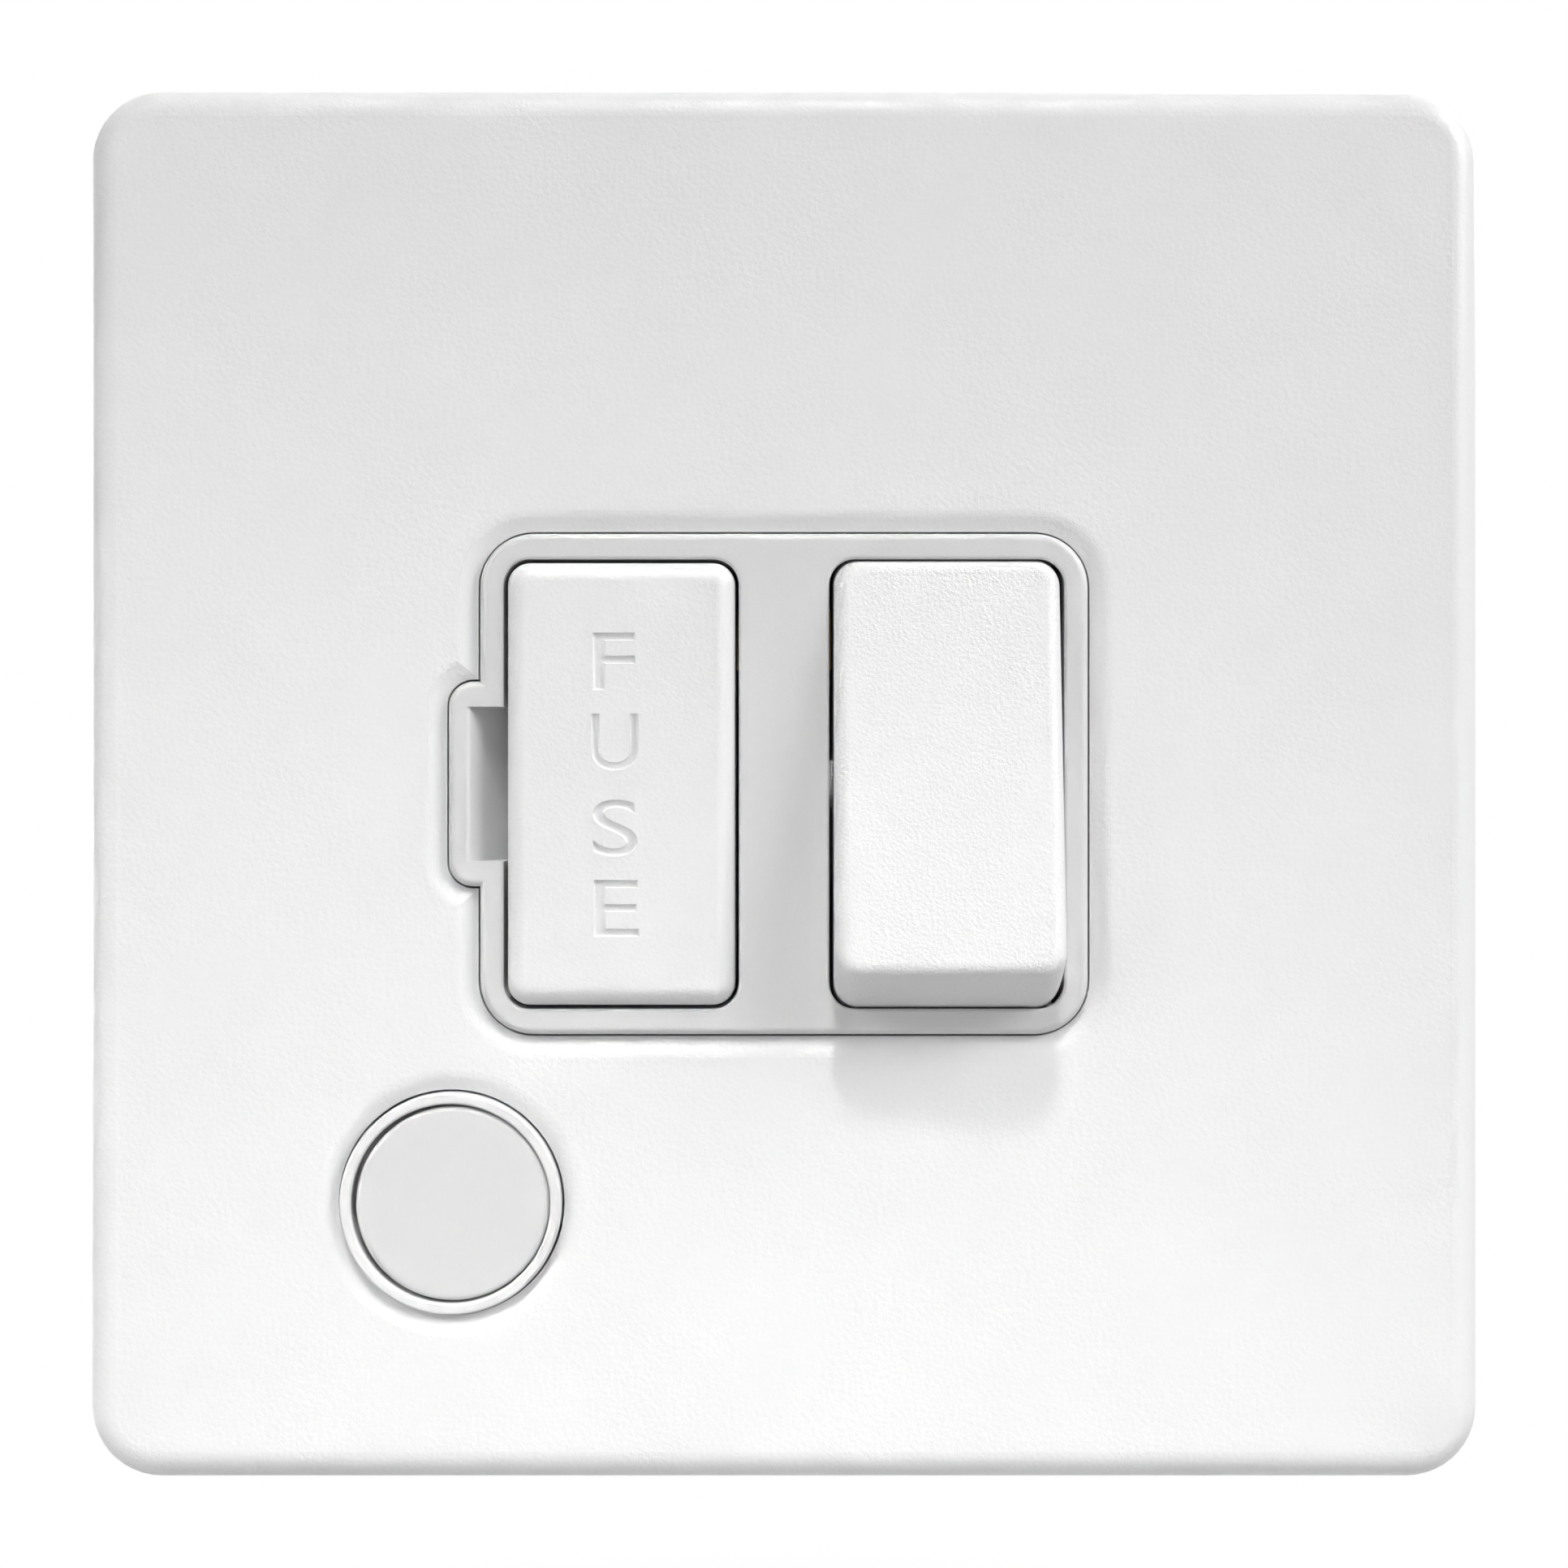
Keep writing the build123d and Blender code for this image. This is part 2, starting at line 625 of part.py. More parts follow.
# One plunger, spring, lever, lever tip and cradle for each pole
spring_foot = plunger_length - plunger_reach
spring_length = stem_bore_depth - stem_reach - spring_foot - 2 * spring_wire
for pole, pole_x in poles.items():
    stem = facing(pole_x, pivot_height, -rocker_tilt)
    with BuildPart() as plunger:
        with BuildSketch(stem.offset(-plunger_reach)):
            Circle(plunger_radius)
        extrude(amount=plunger_length)
        stem_axis = Axis(stem.origin, stem.z_dir)
        fillet(plunger.edges().sort_by(stem_axis)[0], plunger_tip)
    finish(plunger, f"{pole}_plunger")

    with BuildPart() as spring:
        coil_foot = stem.offset(spring_foot + spring_wire).origin
        coil_radius = stem_bore - spring_gap - spring_wire
        coil_pitch = spring_length / spring_turns
        with BuildLine():
            coil = Helix(coil_pitch, spring_length, coil_radius, coil_foot, stem.z_dir)
        with BuildSketch(coil ^ 0):
            Circle(spring_wire)
        sweep(path=coil)
    finish(spring, f"{pole}_spring")

    lever_side = side(pole_x, fulcrum_height, lever_tilt)
    with BuildPart() as lever:
        with BuildSketch(lever_side):
            with Locations((lever_nose, lever_front)):
                Rectangle(lever_nose + lever_tail, lever_thickness, align=(Align.MAX, Align.MAX))
        extrude(amount=lever_width / 2, both=True)
        lever_out = Axis(lever_side.origin, lever_side.y_dir)
        fillet(lever.edges().filter_by(lever_out), lever_end_radius)
        with BuildSketch(lever_side):
            Circle(lever_pin_radius)
        extrude(amount=ear_outer, both=True)
    finish(lever, f"{pole}_contact_lever")

    with BuildPart() as lever_tip:
        with BuildSketch(facing(pole_x, fulcrum_height, lever_tilt).offset(lever_back)):
            with Locations((0, contact_offset)):
                Circle(contact_radius)
        extrude(amount=-lever_tip_thickness)
    finish(lever_tip, f"{pole}_lever_tip")

    with BuildPart() as cradle:
        with BuildSketch(level(bus_back)):
            with Locations((pole_x, 0)):
                Rectangle(2 * ear_outer, ear_length)
            with Locations((pole_x, ear_length / 2)):
                Rectangle(bus_width, strip_reach + ear_length / 2, align=(Align.CENTER, Align.MAX))
        extrude(amount=bus_thickness)
        for hand in (-1, 1):
            with BuildSketch(side(pole_x + hand * ear_inner)):
                with Locations((0, bus_back)):
                    ear_height = fulcrum_height + ear_rise - bus_back
                    Rectangle(ear_length, ear_height, align=(Align.CENTER, Align.MIN))
                with Locations((0, fulcrum_height)):
                    notch_radius = lever_pin_radius + lever_pin_gap
                    Circle(notch_radius, mode=Mode.SUBTRACT)
                    Rectangle(
                        2 * notch_radius,
                        2 * ear_rise,
                        align=(Align.CENTER, Align.MIN),
                        mode=Mode.SUBTRACT,
                    )
            extrude(amount=hand * ear_thickness)
    finish(cradle, f"{pole}_cradle")

# Fixed contacts: one strip runs straight to its terminal, the other feeds the upper fuse clip
contact_foot = contact_offset - bus_width / 2
with BuildPart() as neutral_fixed_contact:
    with BuildSketch(level(bus_back)):
        with Locations((poles["neutral"], contact_foot)):
            Rectangle(bus_width, strip_reach - contact_foot, align=(Align.CENTER, Align.MIN))
    extrude(amount=bus_thickness)
finish(neutral_fixed_contact, "neutral_fixed_contact")

with BuildPart() as line_fixed_contact:
    with BuildSketch(level(bus_back)):
        with Locations((poles["line"], contact_foot)):
            Rectangle(bus_width, clip_place + bus_width / 2 - contact_foot, align=(Align.CENTER, Align.MIN))
        with Locations((poles["line"], clip_place)):
            feed_length = poles["line"] - fuse_x + fuse_radius
            Rectangle(feed_length, bus_width, align=(Align.MAX, Align.CENTER))
    extrude(amount=bus_thickness)
finish(line_fixed_contact, "line_fixed_contact")

with BuildPart() as fixed_contact_tips:
    with BuildSketch(level(bus_front)):
        with Locations([(pole_x, contact_offset) for pole_x in poles.values()]):
            Circle(contact_radius)
    extrude(amount=fixed_tip_thickness)
finish(fixed_contact_tips, "fixed_contact_tips")

# Strip from the lower fuse clip round to the load terminal
with BuildPart() as load_line_link:
    with BuildSketch(level(bus_back)):
        with Locations((fuse_x + fuse_radius, -clip_place)):
            link_run = fuse_x + fuse_radius - link_x + link_width / 2
            Rectangle(link_run, bus_width, align=(Align.MAX, Align.CENTER))
        with Locations((link_x, -clip_place)):
            Rectangle(link_width, clip_place + strip_reach, align=(Align.CENTER, Align.MIN))
    extrude(amount=bus_thickness)
finish(load_line_link, "load_line_link")

# Fuse clips: sprung jaws with flared mouths, one on each strip
jaw = fuse_radius + clip_fit + clip_sheet / 2
jaw_foot = bus_front + clip_sheet / 2
jaw_top = fuse_height + clip_grip
for clip_name, clip_z in {"supply_fuse_clip": clip_place, "load_fuse_clip": -clip_place}.items():
    with BuildPart() as fuse_clip:
        with BuildSketch(section(fuse_x, clip_z)):
            with BuildLine() as bend:
                Polyline(
                    (-jaw - clip_flare, jaw_top + clip_flare),
                    (-jaw, jaw_top),
                    (-jaw, jaw_foot),
                    (jaw, jaw_foot),
                    (jaw, jaw_top),
                    (jaw + clip_flare, jaw_top + clip_flare),
                )
            trace(bend.line, clip_sheet)
        extrude(amount=clip_width / 2, both=True)
    finish(fuse_clip, clip_name)

# Terminals: brass blocks with a wire bore and a clamping screw from behind
for terminal_name, (terminal_x, block_z) in terminals.items():
    with BuildPart() as terminal:
        with BuildSketch(level(bus_front)):
            with Locations((terminal_x, block_z)):
                Rectangle(terminal_width, terminal_length)
        extrude(amount=terminal_depth)
        chamfer(terminal.edges().filter_by(Axis.Z), terminal_edge)
        with BuildSketch(section(terminal_x, block_z)):
            with Locations((0, wire_level)):
                Circle(wire_bore)
        extrude(amount=terminal_length / 2, both=True, mode=Mode.SUBTRACT)
        with BuildSketch(level(bus_front)):
            with Locations((terminal_x, block_z)):
                Circle(screw_hole)
        extrude(amount=wire_height, mode=Mode.SUBTRACT)
    finish(terminal, f"{terminal_name}_terminal")

screw_points = list(terminals.values())
with BuildPart() as terminal_screws:
    with BuildSketch(level(housing_back)):
        with Locations(screw_points):
            Circle(screw_head_radius)
    extrude(amount=screw_head_depth)
    with BuildSketch(level(housing_back)):
        with Locations(screw_points):
            Circle(screw_shank)
    extrude(amount=wire_level - wire_bore - screw_tip_gap - housing_back)
    slots = driver_slots(screw_points, screw_head_radius, housing_back)
    extrude(slots, amount=driver_slot_depth, mode=Mode.SUBTRACT)
finish(terminal_screws, "terminal_screws")

# Earth strap: a foot on the earth terminal, a leg through the frame and a leaf behind the plate
strap_leg = terminal_low + strap_leg_inset
strap_foot_height = bus_front + terminal_depth + strap_sheet / 2
strap_leaf_height = sheet_back - strap_gap - strap_sheet / 2
with BuildPart() as earth_strap:
    with BuildSketch(side(earth_x)):
        with BuildLine() as strap_bend:
            Polyline(
                (strap_leg + strap_foot, strap_foot_height),
                (strap_leg, strap_foot_height),
                (strap_leg, strap_leaf_height),
                (strap_leg + strap_leaf, strap_leaf_height),
            )
        trace(strap_bend.line, strap_sheet)
    extrude(amount=strap_width / 2, both=True)
finish(earth_strap, "earth_strap")

# Rear housing: a tub with a middle well, a deck of terminal pockets above and one below
supply_left = supply_line_x - terminal_width / 2 - pocket_gap
deck_depth = deck_end - terminal_low + pocket_gap
with BuildPart() as rear_housing:
    with BuildSketch(level(housing_back)):
        with Locations((-main_half_x - housing_wall, -main_half_z - housing_wall)):
            Rectangle(
                2 * (main_half_x + housing_wall),
                main_half_z + deck_end + 2 * housing_wall,
                align=(Align.MIN, Align.MIN),
            )
        with Locations((main_half_x + housing_wall, 0)):
            Rectangle(
                main_half_x - supply_left + 2 * housing_wall,
                deck_end + housing_wall,
                align=(Align.MAX, Align.MAX),
            )
    extrude(amount=frame_relief - housing_back)
    fillet(rear_housing.edges().filter_by(Axis.Y), housing_wall)
    fillet(rear_housing.faces().sort_by(Axis.Y)[-1].edges(), housing_edge)
    with BuildSketch(level(-boss_depth - ear_depth)):
        with Locations(bosses):
            Circle(ear_radius)
    extrude(amount=ear_depth)
    with BuildSketch(level(bus_back)):
        Rectangle(2 * main_half_x, 2 * main_half_z)
        with Locations((0, deck_end)):
            Rectangle(2 * main_half_x, deck_depth, align=(Align.CENTER, Align.MAX))
        with Locations((main_half_x, -deck_end)):
            Rectangle(main_half_x - supply_left, deck_depth, align=(Align.MAX, Align.MIN))
    extrude(amount=frame_relief - bus_back, mode=Mode.SUBTRACT)
    with BuildSketch(level(bus_back)):
        Rectangle(partition, 2 * main_half_z)
        load_walls = [(load_line_x + earth_x) / 2, (earth_x + poles["neutral"]) / 2]
        with Locations([(wall_x, terminal_z) for wall_x in load_walls]):
            Rectangle(partition, deck_depth)
        with Locations(((supply_line_x + supply_neutral_x) / 2, -terminal_z)):
            Rectangle(partition, deck_depth)
    extrude(amount=-partition_drop - bus_back)
    with BuildSketch(level(bus_back)):
        wall_z = main_half_z + housing_wall / 2
        with Locations((link_x, wall_z)):
            Rectangle(link_width + 2 * strip_slot_gap, 2 * housing_wall)
        with Locations((poles["neutral"], wall_z), (poles["neutral"], -wall_z), (poles["line"], -wall_z)):
            Rectangle(bus_width + 2 * strip_slot_gap, 2 * housing_wall)
        with Locations((0, clip_place)):
            Rectangle(2 * partition, bus_width + 2 * strip_slot_gap)
    extrude(amount=bus_thickness + strip_slot_gap, mode=Mode.SUBTRACT)
    with BuildSketch(level(housing_back)):
        with Locations(screw_points):
            Circle(screw_head_radius + head_hole_gap)
    extrude(amount=housing_floor, mode=Mode.SUBTRACT)
    for entry_x, entry_z in terminals.values():
        with BuildSketch(section(entry_x, entry_z)):
            with Locations((0, wire_level)):
                Circle(wire_bore + wire_entry_gap)
        outward = -1 if entry_z > 0 else 1
        extrude(amount=outward * terminal_length, mode=Mode.SUBTRACT)
    with BuildSketch(level(-boss_depth)):
        with Locations(bosses):
            Circle(boss_radius + boss_hole_gap)
    extrude(amount=boss_depth + frame_relief, mode=Mode.SUBTRACT)
    with BuildSketch(level(-boss_depth - ear_depth)):
        with Locations(bosses):
            Circle(ear_hole)
    extrude(amount=ear_depth, mode=Mode.SUBTRACT)
    with BuildSketch(level(-boss_depth - ear_depth)):
        with Locations(bosses):
            Circle(housing_screw_head_radius + head_hole_gap)
    extrude(amount=housing_back + boss_depth + ear_depth, mode=Mode.SUBTRACT)
    panel_pitch = (2 * (main_half_x - panel_side_inset) + panel_rib) / panel_count
    with BuildSketch(level(housing_back)):
        with GridLocations(panel_pitch, 0, panel_count, 1):
            RectangleRounded(panel_pitch - panel_rib, 2 * (main_half_z - panel_end_inset), panel_corner)
    extrude(amount=panel_depth, mode=Mode.SUBTRACT)
    for end_wall in (rear_housing.faces().sort_by(Axis.Z)[0], rear_housing.faces().sort_by(Axis.Z)[-1]):
        chamfer([edge for wire in end_wall.inner_wires() for edge in wire.edges()], wire_entry_chamfer)
finish(rear_housing, "rear_housing")

housing_screw_back = -boss_depth - ear_depth - housing_screw_head_depth
with BuildPart() as housing_screws:
    with BuildSketch(level(housing_screw_back)):
        with Locations(bosses):
            Circle(housing_screw_head_radius)
    extrude(amount=housing_screw_head_depth)
    with BuildSketch(level(housing_screw_back)):
        with Locations(bosses):
            Circle(housing_screw_radius)
    extrude(amount=-housing_screw_tip_gap - housing_screw_back)
    slots = driver_slots(bosses, housing_screw_head_radius, housing_screw_back)
    extrude(slots, amount=driver_slot_depth, mode=Mode.SUBTRACT)
finish(housing_screws, "housing_screws")

# Flex outlet: a flanged bush turned about its axis, and the blank that closes it
bush_top = plate_height + bush_proud
with BuildPart() as flex_outlet_bush:
    with BuildSketch(section(outlet_x, outlet_z)):
        with BuildLine():
            flange_rear = frame_relief - bush_flange_depth
            Polyline(
                (bush_radius - bush_wall, bush_top),
                (bush_radius - bush_wall, bush_ledge),
                (bush_bore, bush_ledge),
                (bush_bore, flange_rear),
                (bush_flange_radius, flange_rear),
                (bush_flange_radius, frame_relief),
                (bush_radius, frame_relief),
                (bush_radius, bush_top),
                close=True,
            )
        make_face()
    revolve(axis=Axis((outlet_x, 0, outlet_z), (0, 1, 0)))
    fillet(front_face(flex_outlet_bush).edges(), bush_edge)
finish(flex_outlet_bush, "flex_outlet_bush")

blank_back = bush_ledge + blank_seat_gap
blank_face = plate_height + blank_proud
with BuildPart() as flex_outlet_blank:
    with BuildSketch(level(blank_back)):
        with Locations((outlet_x + blank_offset, outlet_z)):
            Circle(blank_radius)
    extrude(amount=blank_face - blank_back)
    fillet(front_face(flex_outlet_blank).edges(), blank_edge)
    with BuildSketch(level(blank_back)):
        with Locations((outlet_x + blank_offset, outlet_z)):
            Circle(blank_radius - blank_wall)
    extrude(amount=blank_face - blank_wall - blank_back, mode=Mode.SUBTRACT)
finish(flex_outlet_blank, "flex_outlet_blank")

# Cord clamp: a bar across the frame's two posts
with BuildPart() as cord_clamp:
    with BuildSketch(level(clamp_back - clamp_thickness)):
        with Locations((clamp_x, outlet_z)):
            SlotCenterToCenter(clamp_spacing, 2 * clamp_post_radius, rotation=90)
        with Locations(clamp_points):
            Circle(clamp_hole, mode=Mode.SUBTRACT)
    extrude(amount=clamp_thickness)
    fillet(cord_clamp.faces().sort_by(Axis.Y)[-1].outer_wire().edges(), clamp_edge)
    with BuildSketch(level(clamp_back)):
        with Locations((clamp_x, outlet_z)):
            with GridLocations(0, clamp_ridge_pitch, 1, clamp_ridges):
                Rectangle(2 * (clamp_post_radius - clamp_edge), clamp_ridge_width)
    extrude(amount=clamp_ridge_height)
finish(cord_clamp, "cord_clamp")

clamp_screw_back = clamp_back - clamp_thickness - clamp_screw_head_depth
with BuildPart() as cord_clamp_screws:
    with BuildSketch(level(clamp_screw_back)):
        with Locations(clamp_points):
            Circle(clamp_screw_head_radius)
    extrude(amount=clamp_screw_head_depth)
    with BuildSketch(level(clamp_screw_back)):
        with Locations(clamp_points):
            Circle(clamp_screw_radius)
    extrude(amount=frame_relief - clamp_screw_tip_gap - clamp_screw_back)
    slots = driver_slots(clamp_points, clamp_screw_head_radius, clamp_screw_back)
    extrude(slots, amount=driver_slot_depth, mode=Mode.SUBTRACT)
finish(cord_clamp_screws, "cord_clamp_screws")
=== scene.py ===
"""Looks of a switched fused connection unit with a flex outlet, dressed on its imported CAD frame."""

import json
import logging
import math
from dataclasses import dataclass, field
from enum import Enum
from typing import Callable, Dict, List, Optional, Sequence, Tuple, Union

import bmesh
import bpy
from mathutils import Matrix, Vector

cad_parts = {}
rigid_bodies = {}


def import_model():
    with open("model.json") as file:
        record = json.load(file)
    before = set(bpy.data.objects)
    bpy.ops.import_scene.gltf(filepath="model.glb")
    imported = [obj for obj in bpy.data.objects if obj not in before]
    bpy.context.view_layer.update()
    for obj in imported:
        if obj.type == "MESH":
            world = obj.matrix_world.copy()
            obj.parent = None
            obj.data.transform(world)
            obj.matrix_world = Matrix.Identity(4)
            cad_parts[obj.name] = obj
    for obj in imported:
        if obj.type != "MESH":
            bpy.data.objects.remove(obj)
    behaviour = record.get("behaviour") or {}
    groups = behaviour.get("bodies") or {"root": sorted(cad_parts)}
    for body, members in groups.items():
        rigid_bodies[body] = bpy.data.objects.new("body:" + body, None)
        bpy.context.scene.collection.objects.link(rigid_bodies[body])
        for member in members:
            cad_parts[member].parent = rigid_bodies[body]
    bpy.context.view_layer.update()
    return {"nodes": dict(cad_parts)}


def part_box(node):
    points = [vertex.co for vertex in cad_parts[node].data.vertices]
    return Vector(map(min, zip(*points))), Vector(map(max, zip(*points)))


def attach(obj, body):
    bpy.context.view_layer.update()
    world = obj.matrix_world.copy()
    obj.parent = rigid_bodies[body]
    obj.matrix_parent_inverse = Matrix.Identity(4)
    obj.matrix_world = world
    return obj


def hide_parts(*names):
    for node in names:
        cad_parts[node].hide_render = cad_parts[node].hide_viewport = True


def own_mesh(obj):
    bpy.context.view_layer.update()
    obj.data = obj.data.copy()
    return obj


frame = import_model()

log = logging.getLogger("fused_unit")

Colour = Tuple[float, float, float, float]
Point = Tuple[float, float, float]
Value = Union[float, "Signal"]

MM = 0.001
# Distances within which the vertices of a CAD copy, or of a letter in its own units, are one
NODE_MERGE = 0.0005 * MM
LETTER_MERGE = 0.0001
# Share of a length past which a vertex lies at its end, and height within which it lies on a plane
AT_END = 0.99
ON_PLANE = 1e-7
# Least part of a face's normal along an axis that the face looks along
LOOKS_ALONG = 0.9


class Body(Enum):
    """CAD bodies that new pieces ride on."""

    BASE = "base"
    CARRIER = "carrier"
    ROCKER = "switch_rocker"


class Slot(Enum):
    """Material slots of the record that new pieces take."""

    WHITE_MOULDING = "white_moulding"
    HOUSING_MOULDING = "housing_moulding"
    SCREW_STEEL = "screw_steel"
    SPRING_STEEL = "spring_steel"


class MathOp(Enum):
    """Operations of a Math node that shader arithmetic uses."""

    ADD = "ADD"
    MULTIPLY = "MULTIPLY"


class Facing(Enum):
    """Side that a lettered face looks to, as the letters' turn about Z."""

    FRONT = 0.0
    BACK = math.pi


@dataclass(frozen=True)
class Recess:
    """Blades of a driver's tip: their angles, length in head radii, and lower width as a share."""

    turns: Tuple[float, ...]
    reach: float
    taper: float


class Drive(Enum):
    """Recess that a screwdriver turns."""

    CROSS = Recess(turns=(20.0, 110.0), reach=1.25, taper=0.35)
    SLOT = Recess(turns=(35.0,), reach=2.4, taper=0.9)


def grey(level: float) -> Colour:
    """An even grey as a colour."""
    return (level, level, level, 1.0)


class Signal:
    """A shader node's output that takes part in Python arithmetic."""

    def __init__(self, recipe: "Recipe", socket: bpy.types.NodeSocket) -> None:
        """Keeps the recipe that the socket belongs to."""
        self.recipe = recipe
        self.socket = socket

    def __add__(self, other: Value) -> "Signal":
        """Sum with a number or another signal."""
        return self.recipe.math(MathOp.ADD, self, other)

    def __radd__(self, other: Value) -> "Signal":
        """Sum that starts with a number."""
        return self.recipe.math(MathOp.ADD, other, self)

    def __mul__(self, other: Value) -> "Signal":
        """Product with a number or another signal."""
        return self.recipe.math(MathOp.MULTIPLY, self, other)

    def __rmul__(self, other: Value) -> "Signal":
        """Product that starts with a number."""
        return self.recipe.math(MathOp.MULTIPLY, other, self)


class Recipe:
    """Node tree of a material or of the world, built up node by node."""

    def __init__(self, owner: Union[bpy.types.Material, bpy.types.World]) -> None:
        """Empties the owner's node tree.

        Args:
            owner: New material or world.
        """
        self.owner = owner
        self.owner.use_nodes = True
        self.tree = self.owner.node_tree
        self.tree.nodes.clear()

    def node(
        self,
        kind: str,
        settings: Optional[Dict[str, object]] = None,
        sockets: Optional[Dict[Union[str, int], object]] = None,
    ) -> bpy.types.Node:
        """Adds a node, sets its settings first, then its sockets.

        Args:
            kind: Node type, such as ShaderNodeTexNoise.
            settings: The node's properties, or a ramp's stops.
            sockets: Values, or signals to link, by input name or index.

        Returns:
            The new node.
        """
        node = self.tree.nodes.new(kind)
        for name, value in (settings or {}).items():
            if name == "stops":
                self.set_stops(node.color_ramp, value)
            else:
                setattr(node, name, value)
        for name, value in (sockets or {}).items():
            if isinstance(value, Signal):
                self.tree.links.new(value.socket, node.inputs[name])
            else:
                node.inputs[name].default_value = value
        return node

    def set_stops(self, ramp: bpy.types.ColorRamp, stops: Sequence[Tuple[float, Colour]]) -> None:
        """Gives a colour ramp its stops.

        Args:
            ramp: The ramp to set, with two stops at first.
            stops: Position and colour of each stop, from low to high.
        """
        while len(ramp.elements) < len(stops):
            ramp.elements.new(1.0)
        for element, (position, colour) in zip(ramp.elements, stops):
            element.position = position
            element.color = colour

    def signal(self, node: bpy.types.Node, output: Union[str, int] = 0) -> Signal:
        """An output of a node, by name or number, as a signal."""
        return Signal(self, node.outputs[output])

    def math(self, operation: MathOp, first: Value, second: Value) -> Signal:
        """Adds a Math node for two numbers or signals and gives its result."""
        node = self.node("ShaderNodeMath", {"operation": operation.value}, {0: first, 1: second})
        return self.signal(node)

    def place(self, scale: Point = (1.0, 1.0, 1.0)) -> Signal:
        """Object coordinates, stretched for a pattern with a grain.

        Args:
            scale: Factor along each axis.

        Returns:
            The coordinates.
        """
        coordinates = self.signal(self.node("ShaderNodeTexCoord"), "Object")
        mapping = self.node("ShaderNodeMapping", sockets={"Vector": coordinates, "Scale": scale})
        return self.signal(mapping)

    def noise(self, place: Signal, scale: float, detail: float, distortion: float = 0.0) -> Signal:
        """Noise texture.

        Args:
            place: Coordinates.
            scale: Lumps in a metre.
            detail: Number of finer layers.
            distortion: How much it swirls.

        Returns:
            Its value, about 0.5 on average.
        """
        node = self.node(
            "ShaderNodeTexNoise",
            sockets={"Vector": place, "Scale": scale, "Detail": detail, "Distortion": distortion},
        )
        return self.signal(node)

    def crystals(self, place: Signal, scale: float, ends: Tuple[float, float]) -> Signal:
        """Voronoi cells, each with a value of its own.

        Args:
            place: Coordinates.
            scale: Cells in a metre.
            ends: Cell values that give 0 and 1.

        Returns:
            The cells' values, from 0 to 1.
        """
        cells = self.node("ShaderNodeTexVoronoi", sockets={"Vector": place, "Scale": scale})
        stops = list(zip(ends, (grey(0.0), grey(1.0))))
        ramp = self.node("ShaderNodeValToRGB", {"stops": stops}, {0: self.signal(cells, "Color")})
        return self.signal(self.node("ShaderNodeRGBToBW", sockets={0: self.signal(ramp)}))

    def span(self, value: Signal, low: float, high: float) -> Signal:
        """Spreads a value between two limits over 0 to 1, smoothly and clamped.

        Args:
            value: What goes in.
            low: Value that gives 0.
            high: Value that gives 1.

        Returns:
            The spread value.
        """
        node = self.node(
            "ShaderNodeMapRange",
            {"interpolation_type": "SMOOTHSTEP"},
            {"Value": value, "From Min": low, "From Max": high},
        )
        return self.signal(node)

    def mix(self, factor: Value, first: Colour, second: Colour) -> Signal:
        """Mixes two colours, where the factor is the second one's share."""
        node = self.node("ShaderNodeMix", {"data_type": "RGBA"}, {0: factor, 6: first, 7: second})
        return self.signal(node, 2)

    def bump(self, height: Signal, strength: float, distance: float) -> Signal:
        """Turns a height into a normal.

        Args:
            height: Height, from 0 to 1.
            strength: Share of the effect.
            distance: Height of 1, in metres.

        Returns:
            The normal.
        """
        node = self.node(
            "ShaderNodeBump",
            sockets={"Height": height, "Strength": strength, "Distance": distance},
        )
        return self.signal(node, "Normal")

    def finish(self, sockets: Dict[Union[str, int], object]) -> bpy.types.Material:
        """Closes the material with its surface shader.

        Args:
            sockets: Values or signals of the surface shader's sockets.

        Returns:
            The material.
        """
        shader = self.node("ShaderNodeBsdfPrincipled", sockets=sockets)
        self.node("ShaderNodeOutputMaterial", sockets={"Surface": self.signal(shader)})
        return self.owner

    def seen(self) -> Signal:
        """Share of rays that show a surface or the background to the camera.

        Returns:
            1 for rays from the camera, in gloss or through glass, and 0 for light.
        """
        path = self.node("ShaderNodeLightPath")
        seen = self.signal(path, "Is Camera Ray") + self.signal(path, "Is Glossy Ray")
        return self.span(seen + self.signal(path, "Is Transmission Ray"), 0.0, 1.0)


@dataclass(frozen=True)
class PowderCoat:
    """White satin powder coat: a fine grain over a faint, wider unevenness."""

    name: str
    colour: Colour = grey(0.80)
    shade: Colour = grey(0.74)
    smoothest: float = 0.32
    gloss_spread: float = 0.08
    grain_scale: float = 3400.0
    grain_share: float = 0.75
    grain_shade: float = 0.35
    grain_height: float = 0.06 * MM
    grain_strength: float = 0.7
    peel_scale: float = 620.0
    tone_scale: float = 35.0
    tone_shade: float = 0.15

    def make(self) -> bpy.types.Material:
        """Builds the material.

        Returns:
            The material.
        """
        recipe = Recipe(bpy.data.materials.new(self.name))
        place = recipe.place()
        grain = recipe.noise(place, self.grain_scale, detail=3.0)
        peel = recipe.noise(place, self.peel_scale, detail=1.0)
        tone = recipe.noise(place, self.tone_scale, detail=2.0)
        shaded = grain * self.grain_shade + tone * self.tone_shade
        height = grain * self.grain_share + peel * (1.0 - self.grain_share)
        return recipe.finish(
            {
                "Base Color": recipe.mix(shaded, self.colour, self.shade),
                "Roughness": tone * self.gloss_spread + self.smoothest,
                "Normal": recipe.bump(height, self.grain_strength, self.grain_height),
            }
        )


